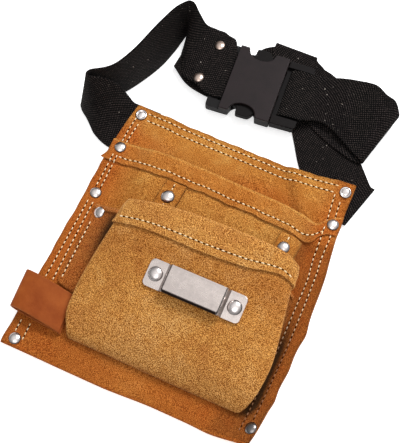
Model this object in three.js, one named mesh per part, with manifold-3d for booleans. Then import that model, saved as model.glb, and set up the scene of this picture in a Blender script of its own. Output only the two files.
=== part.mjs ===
// Leather tool pouch on a webbing belt, lying on its back.
// Millimetres, +X across the pouch, +Y up the pouch towards the belt, +Z up from the surface it lies on.
import * as THREE from 'three';
import { mergeVertices } from 'three/addons/utils/BufferGeometryUtils.js';
import Module from 'manifold-3d';

const wasm = await Module();
wasm.setup();

// ---------------------------------------------------------------- driving sizes
const HIDE = 2.0;              // suede thickness
const GAP = 0.3;               // clearance between stacked pieces
const PANEL_TOP = 128.5;       // upper edge of the back panel
const PANEL_BOTTOM = -126.4;   // lower edge of the back panel, inside the bottom fold
const HEM = 20;                // depth of the main pocket's turned-over rim
const FRONT_HEM = 23;          // depth of the front pocket's turned-over rim
const SEAM = 17;               // width of the sewn side seams
const WEB = 1.8;               // webbing thickness
const LOOP_HIDE = 2.2;         // thickness of the hammer loop
const STRIP_HALF = 10.2;       // half the width of the tool strips
const RIVET_R = 5.2;           // rivet cap radius
const RIVET_H = 2.2;           // rivet cap height
const SHANK_R = 1.8;           // rivet shank radius
const CLIP_LEN = 90, CLIP_WIDE = 25, CLIP_T = 1.4, CLIP_BRIDGE = 50, CLIP_RISE = 6.4;
const CLIP_LIP = 3.0, CLIP_CORNER = 4;   // turned-down lower edge of the bridge, rounding of the tab corners
const CLIP_TILT = 0.6;         // clip stands this far off the pocket face
const ORIGIN = { x: -17.319, y: 58.182 };   // middle of the whole object on the surface it lies on
const BUCKLE = { x: -17.7, y: 190.2, z: 3.5, turn: 5.8, half: 34, thick: 13 };

// ---------------------------------------------------------------- small helpers
const clamp01 = (t) => Math.min(1, Math.max(0, t));
const smooth = (t) => { t = clamp01(t); return t * t * (3 - 2 * t); };
const mix = (a, b, t) => a + (b - a) * t;
const rad = (d) => d * Math.PI / 180;

// Smooth interpolation of the columns of a table whose first column rises.
function column(table, key, by) {
  return (q) => {
    const n = table.length;
    if (q <= table[0][by]) return table[0][key];
    if (q >= table[n - 1][by]) return table[n - 1][key];
    let i = 0;
    while (q > table[i + 1][by]) i++;
    const at = (k) => table[Math.min(n - 1, Math.max(0, k))];
    const slope = (k) => {
      const a = at(k - 1), b = at(k + 1);
      return (b[key] - a[key]) / (b[by] - a[by]);
    };
    const p = at(i), r = at(i + 1), w = r[by] - p[by], t = (q - p[by]) / w;
    const t2 = t * t, t3 = t2 * t;
    return (2 * t3 - 3 * t2 + 1) * p[key] + (t3 - 2 * t2 + t) * w * slope(i)
      + (-2 * t3 + 3 * t2) * r[key] + (t3 - t2) * w * slope(i + 1);
  };
}
const rows = (keys, lines) => lines.map((l) => Object.fromEntries(keys.map((k, i) => [k, l[i]])));

// ---------------------------------------------------------------- closed wall from a grid of middle points
// at(i, j) is a point of the wall's middle surface; up(i, j) and down(i, j) are its two half thicknesses.
function wall(ni, nj, at, up, down) {
  const P = [];
  for (let i = 0; i <= ni; i++) { P.push([]); for (let j = 0; j <= nj; j++) P[i].push(at(i, j)); }
  const pos = [];
  const side = (sign, half) => {
    for (let i = 0; i <= ni; i++) for (let j = 0; j <= nj; j++) {
      const a = P[Math.min(ni, i + 1)][j], b = P[Math.max(0, i - 1)][j];
      const c = P[i][Math.min(nj, j + 1)], d = P[i][Math.max(0, j - 1)];
      const n = new THREE.Vector3().subVectors(a, b).cross(new THREE.Vector3().subVectors(c, d)).normalize();
      const q = P[i][j].clone().addScaledVector(n, sign * half(i, j));
      pos.push(q.x, q.y, q.z);
    }
  };
  side(1, up); side(-1, down);
  const w = nj + 1, m = (ni + 1) * w, idx = [];
  const id = (i, j) => i * w + j;
  for (let i = 0; i < ni; i++) for (let j = 0; j < nj; j++) {
    const a = id(i, j), b = id(i + 1, j), c = id(i + 1, j + 1), d = id(i, j + 1);
    idx.push(a, b, c, a, c, d, m + a, m + c, m + b, m + a, m + d, m + c);
  }
  const rim = (a, b) => idx.push(a, m + a, m + b, a, m + b, b);
  for (let i = 0; i < ni; i++) { rim(id(i, 0), id(i + 1, 0)); rim(id(i + 1, nj), id(i, nj)); }
  for (let j = 0; j < nj; j++) { rim(id(0, j + 1), id(0, j)); rim(id(ni, j), id(ni, j + 1)); }
  const g = new THREE.BufferGeometry();
  g.setAttribute('position', new THREE.Float32BufferAttribute(pos, 3));
  g.setIndex(idx);
  return g;
}

// ---------------------------------------------------------------- joins and cuts
function solidOf(geometry) {
  let g = geometry.clone();
  g.deleteAttribute('normal'); g.deleteAttribute('uv');
  g = mergeVertices(g, 1e-4);
  return new wasm.Manifold(new wasm.Mesh({
    numProp: 3,
    vertProperties: Float32Array.from(g.attributes.position.array),
    triVerts: Uint32Array.from(g.index.array),
  }));
}
function geometryOf(solid) {
  const m = solid.getMesh(), g = new THREE.BufferGeometry(), pos = [];
  for (let i = 0; i < m.vertProperties.length; i += m.numProp) pos.push(m.vertProperties[i], m.vertProperties[i + 1], m.vertProperties[i + 2]);
  g.setAttribute('position', new THREE.Float32BufferAttribute(pos, 3));
  g.setIndex(Array.from(m.triVerts));
  return g;
}

// ---------------------------------------------------------------- outline and rest shape of the pouch
const LEFT_EDGE = rows(['y', 'x'], [[-131, -117], [-60, -116], [0, -115], [60, -114], [100, -112.5], [129, -108.5]]);
const RIGHT_EDGE = rows(['y', 'x'], [[-131, 115], [-110, 118.5], [-50, 121], [0, 120], [40, 117.2], [68, 113.2], [80, 111.6], [92, 111.4], [106, 109.8], [133, 109]]);
const leftX = column(LEFT_EDGE, 'x', 'y'), rightX = column(RIGHT_EDGE, 'x', 'y');
// The upper edge runs up a little towards the right corner.
const panelTop = (x) => PANEL_TOP + 3.8 * smooth((x - 38) / 76);

// Height of the back panel's underside: nothing where it lies flat, raised over the webbing ends and along the curled right side.
function lift(x, y) {
  const overLeftWeb = 2.2 * smooth((-60 - x) / 14) * smooth((y - 46) / 14);
  const overRightWeb = 4.5 * smooth((x - (56 - 0.66 * (y - 99))) / 14) * smooth((y - 56) / 14);
  const corner = 7 * smooth((x - 62) / 48) * smooth((y - 98) / 36);
  const side = 9 * smooth((x - 92) / 30) * smooth((y + 140) / 40) * (1 - smooth((y - 30) / 60));
  const toe = 8 * smooth((x - 70) / 52) * smooth((-86 - y) / 44);
  return overLeftWeb + overRightWeb + corner + side + toe;
}

// Rim of the main pocket: how far up and how high it stands at each place across, and how deep it is turned over.
const MAIN_RIM = rows(['x', 'y', 'z', 'hem'], [
  [-117, 84, 3.4, HEM], [-100, 84.5, 5, HEM], [-75, 85.5, 13, HEM], [-30, 85.5, 16, HEM], [20, 84.5, 17, HEM], [52, 83, 19, HEM],
  [70, 80, 23, HEM], [82, 78.4, 22, 19], [90, 81.5, 15, 15.5], [97, 88.5, 8, 15], [105, 95, 5, 17.5], [113, 98.5, 3.4, 19]]);
const rimY = column(MAIN_RIM, 'y', 'x'), rimZ = column(MAIN_RIM, 'z', 'x'), hemAt = column(MAIN_RIM, 'hem', 'x');
// Share of the rim's bulge that is left lower down the pocket.
const SLACK = rows(['y', 'k'], [[-131, 0], [-100, 0.12], [-60, 0.32], [0, 0.6], [50, 0.9], [90, 1]]);
const slack = column(SLACK, 'k', 'y');
const seamFade = (x, y) => smooth((x - leftX(y) - SEAM) / 40) * smooth((rightX(y) - x - SEAM + 4) / 26);
// Middle height of the main pocket's front wall.
function mainZ(x, y) {
  const base = 1.14 * lift(x, y) + HIDE + GAP + HIDE / 2;
  return base + Math.max(0, rimZ(x) - 3.4) * slack(y) * seamFade(x, y);
}
const onMain = (x, y) => mainZ(x, y) + HIDE / 2;

// ---------------------------------------------------------------- hide pieces
function backPanel() {
  const ni = 18, up = [0, 0.06, 0.14, 0.24, 0.34, 0.44, 0.54, 0.62, 0.68, 0.71, 0.745, 0.78, 0.82, 0.87, 0.92, 0.96, 1], nj = up.length - 1;   // rows closer where the panel steps over the webbing
  return wall(ni, nj, (i, j) => {
    const s = i / ni, y = mix(PANEL_BOTTOM, panelTop(mix(leftX(129), rightX(133), s)), up[j]);
    const x = mix(leftX(y), rightX(y), s);
    return new THREE.Vector3(x, y, lift(x, y) + HIDE / 2);
  }, () => HIDE / 2, () => HIDE / 2);
}

// Front of the main pocket, from the bottom fold up to the doubled rim.
function mainPocket() {
  const ni = 18, up = [0, 0.11, 0.24, 0.38, 0.52, 0.65, 0.76, 0.85, 0.91, 0.955, 1], arc = 4, face = up.length - 1, hem = 2, nj = arc + face + hem;
  const foldMid = (HIDE + GAP) / 2 + HIDE / 2;
  const profile = (x, j) => {
    if (j < arc) {                       // the hide turning up round the lower edge of the back panel
      const a = rad(-90 + 180 * j / arc), r = (HIDE + GAP) / 2;
      return { y: PANEL_BOTTOM - 1.1 - r * Math.cos(a) * 1.7, z: lift(x, -127) * mix(1, 1.14, j / arc) + foldMid + r * Math.sin(a) };
    }
    const top = rimY(x), start = PANEL_BOTTOM + 3;
    const raw = top - hemAt(x);
    const y = j <= arc + face ? mix(start, raw, up[j - arc]) : mix(raw + 0.5, top, (j - arc - face - 1) / (hem - 1));
    return { y, z: mainZ(x, y) };
  };
  return wall(ni, nj, (i, j) => {
    const s = i / ni, x0 = mix(leftX(0), rightX(0), s);
    const p = profile(x0, j), x = mix(leftX(p.y), rightX(p.y), s);
    const q = profile(x, j);
    return new THREE.Vector3(x, q.y, q.z);
  }, (i, j) => (j > arc + face ? 1.5 * HIDE : 0.5 * HIDE), () => HIDE / 2);
}

// Sections of the front pocket from its sewn lower edge up to its rim: places across and heights.
const FRONT = rows(['y', 'valleyL', 'edgeL', 'edgeR', 'valleyR', 'seamR', 'zL', 'zR', 'crown'], [
  [-107, -63.5, -62, 96, 97, 98, 0, 0, 0],
  [-105.5, -65.5, -64.5, 98.5, 98.6, 99, 3.5, 3.5, 0.5],
  [-101, -67.5, -67.5, 102, 99, 100.5, 6.5, 8, 1.5],
  [-88, -68.5, -74, 106, 98, 102.5, 9, 15, 4.5],
  [-67, -69, -75.5, 108, 96, 103, 12, 18.5, 6.4],
  [-54, -72, -75, 107.5, 95, 103.5, 14.5, 20.5, 7.3],
  [-25, -71, -72, 102.5, 92, 103, 19, 24, 9],
  [2, -68, -68, 97.5, 88, 100, 23, 28, 9],
  [24, -64, -64, 94, 84, 97, 25, 30, 8]]);
// Outer edge of the left gusset: wide above the hammer loop, tucked in below it.
const FRONT_SEAM_LEFT = rows(['y', 'x'], [[-107, -65], [-101, -67], [-70, -68], [-66.5, -70], [-62.5, -92], [-58, -97], [-25, -97.6], [24, -98.2]]);
const frontAt = Object.fromEntries(Object.keys(FRONT[0]).map((k) => [k, column(FRONT, k, 'y')]));
frontAt.seamL = column(FRONT_SEAM_LEFT, 'x', 'y');
function frontPoint(u, y) {
  const c = (k) => frontAt[k](y);
  const rest = (x) => onMain(x, y) + GAP + HIDE / 2 + 0.3 + 0.9 * smooth((x - 78) / 12);
  const faceN = 12;
  const zOf = (s) => mix(c('zL'), c('zR'), s) + c('crown') * (1 - Math.pow(Math.abs(2 * s - 1), 3.2));
  const ridge = (s) => { const x = mix(c('edgeL'), c('edgeR'), s); return new THREE.Vector3(x, y, Math.max(rest(x), rest(x) * 0.35 + 0.65 * rest(20) + zOf(s))); };
  const low = (x, h) => new THREE.Vector3(x, y, rest(x) + h);
  if (u <= 2) { const t = u / 2; return low(mix(c('seamL'), c('valleyL'), t), 0.12 * c('zL') * smooth(t)); }
  if (u < 4) { const a = low(c('valleyL'), 0.12 * c('zL')), b = ridge(0); return a.lerp(b, (u - 2) / 2); }
  if (u <= 4 + faceN) return ridge((u - 4) / faceN);
  const v = u - 4 - faceN;
  if (v < 2) { const a = ridge(1), b = low(c('valleyR'), 0.15 * c('zR')); return a.lerp(b, v / 2); }
  const t = (v - 2) / 2;
  return low(mix(c('valleyR'), c('seamR'), t), 0.15 * c('zR') * (1 - smooth(t)));
}
const FRONT_N = 20;
const FRONT_RIM = rows(['u', 'y'], [[0, 18], [2, 18], [4, 22], [7, 27], [11, 29], [15, 28], [16, 23], [18, 15], [20, 10]]);
const frontRim = column(FRONT_RIM, 'y', 'u');
function frontPocket() {
  const ys = [-107, -105.5, -101, -88, -67, -62.5, -50, -30, -10];
  const nj = ys.length + 2;
  const yAt = (i, j) => {
    const top = frontRim(i), raw = top - FRONT_HEM * (1 + 0.2 * smooth(1 - Math.abs(i - 10) / 6));
    if (j < ys.length) return Math.min(ys[j], raw - 8 + (j - ys.length + 1) * 6);
    return j === ys.length ? raw : j === ys.length + 1 ? raw + 0.5 : top;
  };
  return wall(FRONT_N, nj, (i, j) => frontPoint(i, yAt(i, j)),
    (i, j) => (j > ys.length && i > 4 && i < 16 ? 1.5 * HIDE : 0.5 * HIDE), () => HIDE / 2);
}


// ---------------------------------------------------------------- straps: a ruled band through a table of stations
// Each station is the middle of the band, the plan angle of its crosswise line, how far that line leans up, and its half width.
function band(table, thick, perStep, across = 2) {
  const keyed = table.map((r, i) => ({ ...r, i }));
  const at = Object.fromEntries(Object.keys(table[0]).map((k) => [k, column(keyed, k, 'i')]));
  const ni = (table.length - 1) * perStep;
  return wall(ni, across, (i, j) => {
    const q = i / perStep, s = 1 - 2 * j / across, h = at.half(q) * s, t = rad(at.turn(q)), l = rad(at.lean(q));
    return new THREE.Vector3(at.x(q) + h * Math.cos(l) * Math.cos(t), at.y(q) + h * Math.cos(l) * Math.sin(t), Math.max(thick / 2 + 0.02, at.z(q) + h * Math.sin(l)));
  }, () => thick / 2, () => thick / 2);
}
const STATION = ['x', 'y', 'z', 'turn', 'lean', 'half'];

// Left strap: sewn under the panel, twists up on its edge, turns, runs up the side, turns again and lies down to the buckle bar.
const BELT_LEFT = rows(STATION, [
  [-86, 104, 0.95, 90, 0, 26], [-100, 104, 0.95, 90, 0, 26], [-113.5, 104, 1.1, 90, 0.3, 26], [-122, 105.4, 5.6, 88, 10, 26], [-133, 107, 15, 88, 32, 26],
  [-145, 106.5, 24.6, 88, 65, 26], [-152.4, 108.5, 26.6, 66, 76, 26], [-155.4, 112, 27, 46, 80, 26], [-152.8, 116.4, 27, 60, 84, 26],
  [-146, 121.5, 27, 120, 87, 26], [-137.2, 128.5, 26.6, 170, 86, 25.6], [-129.5, 138, 26.2, 192, 83, 25.4], [-122, 153.5, 25.8, 197, 79, 25.2], [-115.5, 172, 25.4, 196, 75, 25.2],
  [-109.5, 196, 25.4, 165, 77, 25], [-105.5, 212, 25.4, 142, 80, 25], [-101.6, 221, 25.4, 125, 84, 25], [-97.5, 218, 24.2, 90, 68, 25],
  [-92.5, 207.6, 18.2, 86, 42, 25.4], [-85.5, 200.4, 13.4, 86, 18, 26.4], [-75, 198, 12.8, 87, 5, 28.6], [-66, 196.4, 12.7, 89, 1, 29],
  [-57.5, 190, 13.7, 93.4, 1, 28], [-48.5, 188.6, 14.5, 95.2, 2, 27.4], [-43.6, 188, 13.3, 95.8, 1, 25.6], [-42.3, 187.6, 10.1, 95.8, 0, 25],
  [-43.9, 187.5, 7.2, 95.8, 0, 25], [-49, 187, 6.2, 95.8, 0, 25], [-61, 188.6, 6.7, 94, 0, 26.5], [-77, 196, 5.8, 88, 0, 27], [-94.5, 206, 4.8, 86, 0, 26.5]]);

// Right strap: sewn under the panel, folded back under itself, up behind the buckle, folded there, down to the right, folded over and into the buckle.
const BELT_RIGHT = rows(STATION, [
  [86, 114, 3.05, 86, 0, 25], [103, 116, 3.05, 84, 0, 25], [112, 118, 3.05, 78, 0, 23.5], [116.4, 118.6, 2.9, 76, 0, 23], [118.2, 119, 2.0, 75.6, 0, 23], [116.4, 119.4, 1.0, 75.6, 0, 23],
  [110.4, 121.2, 0.95, 70, 0, 24], [96, 131, 0.95, 56, 0, 26], [77, 147.7, 0.95, 40, 0, 28], [58, 174.8, 0.95, 33, 0, 27.5], [33, 208.6, 0.95, 23, 0, 26],
  [11, 234.6, 0.95, 5, 0, 23.2], [4.6, 243, 1.0, -1, 0, 21], [3.2, 245.2, 1.9, -2, 0, 20.8], [3, 243, 2.8, 1, 0, 21], [8, 232, 2.85, 14, 0, 23.6],
  [26, 217, 2.85, 42, 0, 26], [45.5, 206, 2.85, 58, 0, 26], [62, 196.5, 2.85, 66, 0, 26], [78, 189.8, 3.0, 66, 0, 26], [92, 186, 3.6, 68, 0, 26.5], [102, 185, 4.6, 73, 2, 27.6],
  [108, 186.2, 5.7, 75.5, 4, 28.4], [110.5, 187, 8.6, 76.5, 6, 28.6], [108.5, 187.8, 11.8, 76.5, 9, 28.6], [101.2, 190, 14.2, 76, 13.5, 28.4], [91, 195, 15.9, 72, 16.5, 27.8],
  [78, 201.3, 16.4, 70, 16, 27.4], [64, 205, 14.2, 76, 11, 26.3], [52, 204.5, 11.2, 82, 6, 25], [43, 200.6, 11.4, 89, 2, 24.5], [34.5, 197.2, 13.3, 93.5, 1, 25],
  [22.5, 195.2, 13.7, 95.8, 0, 25], [13.9, 194.2, 12.3, 95.8, 0, 25], [12.2, 194, 10.1, 95.8, 0, 25], [13.9, 194.2, 7.7, 95.8, 0, 25], [22.5, 195, 6.6, 95.8, 0, 25], [36, 196.5, 6.6, 95.8, 0, 25]]);

// ---------------------------------------------------------------- pouch fittings
// Hammer loop: one strip laid double, fold to the left, both ends under the edge of the front pocket.
const LOOP = rows(STATION, [
  [-72.5, -86, 7.7, 94, 0, 18], [-90, -84.5, 6.9, 94, 0, 18], [-108, -83, 6.9, 94, 0, 18], [-117, -82.2, 7.3, 94, 0, 18], [-121.4, -81.8, 9.2, 94, 0, 18],
  [-122.2, -81.7, 11.8, 94, 0, 18], [-119.4, -82, 14.8, 94, 0, 18], [-110, -82.8, 16.2, 94, 0, 18], [-95, -84, 14.8, 94, 0, 18], [-83, -85, 12.2, 94, 0, 18], [-75.5, -85.7, 10.9, 94, 0, 18]]);

function toolStrip(xTop, xLow, yTop, yLow) {
  const ni = 3, nj = 8;
  return wall(ni, nj, (i, j) => {
    const t = j / nj, y = mix(yLow, yTop, t), x = mix(xLow, xTop, t) + mix(-STRIP_HALF, STRIP_HALF, i / ni);
    return new THREE.Vector3(x, y, onMain(x, y) + 4 * GAP + HIDE / 2);
  }, () => HIDE / 2, () => HIDE / 2);
}

// Rivet: domed cap, shank through the layers below it. The local +Z points out of the leather, z = 0 is the leather.
function rivetGeometry(depth) {
  const p = [[0, -depth], [SHANK_R, -depth], [SHANK_R, GAP * 0.7], [RIVET_R - 0.4, GAP * 0.7], [RIVET_R, 0.7], [RIVET_R * 0.82, RIVET_H * 0.72], [RIVET_R * 0.45, RIVET_H * 0.96], [0, RIVET_H]]
    .map(([x, y]) => new THREE.Vector2(x, y));
  const g = new THREE.LatheGeometry(p, 12);
  g.rotateX(Math.PI / 2);
  return g;
}
function holeGeometry(depth) {
  const g = new THREE.CylinderGeometry(SHANK_R + GAP, SHANK_R + GAP, depth + 6, 8);
  g.rotateX(Math.PI / 2);
  g.translate(0, 0, -depth / 2);
  return g;
}

// ---------------------------------------------------------------- buckle, in its own frame: u along the belt, v across, w up
function boxAt(u0, u1, v0, v1, w0, w1) {
  const g = new THREE.BoxGeometry(u1 - u0, v1 - v0, w1 - w0);
  g.translate((u0 + u1) / 2, (v0 + v1) / 2, (w0 + w1) / 2);
  return solidOf(g);
}
function plate(points, w0, w1) {
  const s = new THREE.Shape(points.map(([u, v]) => new THREE.Vector2(u, v)));
  const g = new THREE.ExtrudeGeometry(s, { depth: w1 - w0, bevelEnabled: false, steps: 1 });
  g.translate(0, 0, w0);
  return solidOf(g);
}
const mirrored = (pts) => pts.map(([u, v]) => [u, -v]).reverse();
function buckleFemale() {
  const H = BUCKLE.half, T = BUCKLE.thick;
  // outline of the sleeve with its bar end and the two side windows
  const edge = [[-37, -H], [-12, -H], [-9, -H + 6.5], [7, -H + 6.5], [11, -H], [25, -H]];
  const body = plate([...edge, ...mirrored(edge)], 0.6, T);
  const cavity = boxAt(-23, 30, -H + 3.2, H - 3.2, 3.0, T - 2.2);          // where the prongs go in
  const slot = boxAt(-28, -22.6, -27, 27, -1, T + 1);                // behind the webbing bar
  const over = boxAt(-40, -22.6, -40, 40, 8.6, T + 1);                 // webbing passes over the bar and its low ends
  const under = boxAt(-40, -22.6, -27, 27, -1, 4.6);                   // and back under it
  return geometryOf(body.subtract(cavity).subtract(slot).subtract(over).subtract(under));
}
function buckleMale() {
  const H = BUCKLE.half, T = BUCKLE.thick;
  const base = plate([[25.4, -H + 0.5], [50, -H + 1.5], [50, H - 1.5], [25.4, H - 0.5]], 2.2, T - 2.0);
  const window = boxAt(27.4, 33, -26.4, 26.4, -1, T + 1);
  const low = boxAt(20, 60, -26.4, 26.4, 7.2, T + 1), low2 = boxAt(20, 60, -26.4, 26.4, -1, 5.2);
  const prong = [[-13, -H + 5.6], [-8.2, -H + 5.0], [-7.6, -H - 2.4], [5.2, -H - 2.4], [9.2, -H + 4.2], [26, -H + 5.0], [26, -H + 11], [2, -H + 11], [-10, -H + 10]];
  const guide = boxAt(-14, 26, -4, 4, 4.2, T - 3.4);
  return geometryOf(base.subtract(window).subtract(low).subtract(low2)
    .add(plate(prong, 4.0, T - 3.2)).add(plate(mirrored(prong), 4.0, T - 3.2)).add(guide));
}

// ---------------------------------------------------------------- tape clip: two riveted tabs and a raised bridge with a turned-down lower edge
function clipSolid() {
  const a = CLIP_LEN / 2, b = CLIP_BRIDGE / 2, c = b + 4, r = CLIP_RISE, t = CLIP_T, w = CLIP_WIDE / 2;
  const s = new THREE.Shape();
  const line = [[-a, 0], [-c, 0], [-b, r], [b, r], [c, 0], [a, 0], [a, t], [c + 0.5, t], [b + 0.5, r + t], [-b - 0.5, r + t], [-c - 0.5, t], [-a, t]];
  line.forEach(([x, y], i) => (i ? s.lineTo(x, y) : s.moveTo(x, y)));
  const g = new THREE.ExtrudeGeometry(s, { depth: CLIP_WIDE, bevelEnabled: false, steps: 1 });
  g.translate(0, 0, -w);
  g.rotateX(Math.PI / 2);
  const outline = [];
  for (const [x, y, from] of [[a, w, 0], [-a, w, 90], [-a, -w, 180], [a, -w, 270]]) for (let k = 0; k <= 3; k++) {
    const q = rad(from + 30 * k), cx = x - Math.sign(x) * CLIP_CORNER, cy = y - Math.sign(y) * CLIP_CORNER;
    outline.push([cx + CLIP_CORNER * Math.cos(q), cy + CLIP_CORNER * Math.sin(q)]);
  }
  return solidOf(g).intersect(plate(outline, -1, r + t + 1)).add(boxAt(-b, b, -w, -w + t, r - CLIP_LIP, r + 0.5 * t));
}

// ---------------------------------------------------------------- assembly
const SUEDE = 0xc3782d, SPLIT = 0xbe8741, SMOOTH = 0x985026, BLACK = 0x161616, PLASTIC = 0x2b2727, STEEL = 0xd2d2d6;
const group = new THREE.Group();
function add(name, geometry, color, roughness, metalness) {
  const mesh = new THREE.Mesh(geometry, new THREE.MeshStandardMaterial({ color, roughness, metalness }));
  mesh.name = name;
  group.add(mesh);
  return mesh;
}

const layers = {
  back_panel: backPanel(), main_pocket: mainPocket(), front_pocket: frontPocket(),
  tool_strip_left: toolStrip(-39, -41, 64, 4), tool_strip_right: toolStrip(76, 73, 58, 6),
  belt_left: band(BELT_LEFT, WEB, 2), belt_right: band(BELT_RIGHT, WEB, 2),
};

// Rivets: where each stands, which piece its cap lies on, how deep its shank goes and which pieces it passes through.
const RIVETS = rows(['name', 'x', 'y', 'on', 'depth', 'through'], [
  ['rivet_top_left', -101.5, 119.5, 'back_panel', 3.6, 'back_panel belt_left'],
  ['rivet_rim_left', -103.2, 79.2, 'main_pocket', 7.4, 'main_pocket back_panel belt_left'],
  ['rivet_side_left', -104.5, 30.5, 'main_pocket', 3.8, 'main_pocket back_panel'],
  ['rivet_bottom_left', -106, -122.8, 'main_pocket', 3.8, 'main_pocket back_panel'],
  ['rivet_top_right', 102.2, 122.6, 'back_panel', 3.6, 'back_panel belt_right'],
  ['rivet_rim_right', 104, 88.2, 'main_pocket', 5.6, 'main_pocket back_panel'],
  ['rivet_bottom_right', 112.4, -112, 'main_pocket', 3.8, 'main_pocket back_panel'],
  ['rivet_gusset_left', -91.6, 12.4, 'front_pocket', 4, 'front_pocket main_pocket'],
  ['rivet_strip_left', -40.2, 48.6, 'tool_strip_left', 4, 'tool_strip_left main_pocket'],
  ['rivet_strip_right', 74, 44.6, 'tool_strip_right', 4, 'tool_strip_right main_pocket']]);
// Highest facet of a piece above a place.
function topAt(geometry, x, y) {
  const p = geometry.attributes.position, ix = geometry.index;
  const a = new THREE.Vector3(), b = new THREE.Vector3(), c = new THREE.Vector3();
  let best = -Infinity;
  for (let i = 0; i < ix.count; i += 3) {
    a.fromBufferAttribute(p, ix.getX(i)); b.fromBufferAttribute(p, ix.getX(i + 1)); c.fromBufferAttribute(p, ix.getX(i + 2));
    const d = (b.y - c.y) * (a.x - c.x) + (c.x - b.x) * (a.y - c.y);
    if (Math.abs(d) < 1e-9) continue;
    const u = ((b.y - c.y) * (x - c.x) + (c.x - b.x) * (y - c.y)) / d, v = ((c.y - a.y) * (x - c.x) + (a.x - c.x) * (y - c.y)) / d;
    if (u < 0 || v < 0 || u + v > 1) continue;
    best = Math.max(best, u * a.z + v * b.z + (1 - u - v) * c.z);
  }
  return best;
}
// A frame standing on a piece: tilted with the leather, and clear of every facet under the cap.
function seat(geometry, x, y) {
  const e = 4, z = (dx, dy) => topAt(geometry, x + dx, y + dy), mid = z(0, 0);
  const sx = (z(e, 0) - z(-e, 0)) / (2 * e), sy = (z(0, e) - z(0, -e)) / (2 * e);
  const gx = Number.isFinite(sx) ? sx : 0, gy = Number.isFinite(sy) ? sy : 0;
  let clear = 0;
  for (let k = 0; k < 24; k++) {
    const r = RIVET_R * (k < 12 ? 1 : 0.6), q = rad(30 * k), h = z(r * Math.cos(q), r * Math.sin(q));
    if (Number.isFinite(h)) clear = Math.max(clear, h - mid - gx * r * Math.cos(q) - gy * r * Math.sin(q));
  }
  const n = new THREE.Vector3(-gx, -gy, 1).normalize();
  const m = new THREE.Matrix4().makeRotationFromQuaternion(new THREE.Quaternion().setFromUnitVectors(new THREE.Vector3(0, 0, 1), n));
  return m.setPosition(x, y, mid + clear);
}
const solids = Object.fromEntries(Object.entries(layers).map(([k, g]) => [k, solidOf(g)]));
function drive(name, frame, depth, through) {
  const hole = solidOf(holeGeometry(depth).applyMatrix4(frame));
  for (const k of through) solids[k] = solids[k].subtract(hole);
  const mesh = add(name, rivetGeometry(depth), STEEL, 0.3, 1);
  mesh.applyMatrix4(frame);
}
for (const r of RIVETS) drive(r.name, seat(layers[r.on], r.x, r.y), r.depth, r.through.split(' '));

// The clip lies along the middle of the front pocket's face.
const CLIP_AT = { uL: 4 + 12 * 0.26, uR: 4 + 12 * 0.8, uMid: 10.55, y: -30 };
const clipL = frontPoint(CLIP_AT.uL, CLIP_AT.y), clipR = frontPoint(CLIP_AT.uR, CLIP_AT.y);
const clipUp = frontPoint(10, CLIP_AT.y + 12).sub(frontPoint(10, CLIP_AT.y - 12)).normalize();
const clipX = clipR.clone().sub(clipL).normalize();
const clipZ = clipX.clone().cross(clipUp).normalize();
const clipFrame = new THREE.Matrix4().makeBasis(clipX, clipZ.clone().cross(clipX), clipZ)
  .setPosition(frontPoint(CLIP_AT.uMid, CLIP_AT.y).addScaledVector(clipZ, HIDE / 2 + CLIP_TILT));
let clip = clipSolid();
for (const [name, side] of [['clip_rivet_left', -1], ['clip_rivet_right', 1]]) {
  const f = clipFrame.clone().multiply(new THREE.Matrix4().makeTranslation(side * (CLIP_LEN / 2 - 8), 0, CLIP_T));
  clip = clip.subtract(solidOf(holeGeometry(6).applyMatrix4(clipFrame.clone().invert().multiply(f))));
  drive(name, f, 4.6, ['front_pocket']);
}
add('tape_clip', geometryOf(clip), STEEL, 0.25, 1).applyMatrix4(clipFrame);

// Two rivets hold the webbing's turned-back end at the buckle bar.
for (const [name, x, y] of [['belt_rivet_upper', -63.6, 213.2], ['belt_rivet_lower', -67.8, 174]]) drive(name, seat(layers.belt_left, x, y), 6.4, ['belt_left']);

for (const [k, g] of Object.entries(solids)) {
  const color = k.startsWith('belt') ? BLACK : k === 'front_pocket' ? SPLIT : SUEDE;
  add(k, geometryOf(g), color, 0.95, 0);
}
add('hammer_loop', band(LOOP, LOOP_HIDE, 2), SMOOTH, 0.6, 0);

const buckleFrame = new THREE.Matrix4().makeRotationZ(rad(BUCKLE.turn)).setPosition(BUCKLE.x, BUCKLE.y, BUCKLE.z);
add('buckle_female', buckleFemale(), PLASTIC, 0.45, 0).applyMatrix4(buckleFrame);
add('buckle_male', buckleMale(), PLASTIC, 0.45, 0).applyMatrix4(buckleFrame);

for (const mesh of group.children) mesh.applyMatrix4(new THREE.Matrix4().makeTranslation(-ORIGIN.x, -ORIGIN.y, 0));

export default group;
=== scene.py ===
# Leather tool pouch on a webbing belt, lying on its back: soft surfaces, stitching, fittings and finish.
# Shapes are worked out in millimetres in the pouch's own frame, and written in metres in the shared frame.
import math
import bpy
import numpy as np
from mathutils import Matrix, Vector
from mathutils.bvhtree import BVHTree


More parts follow.
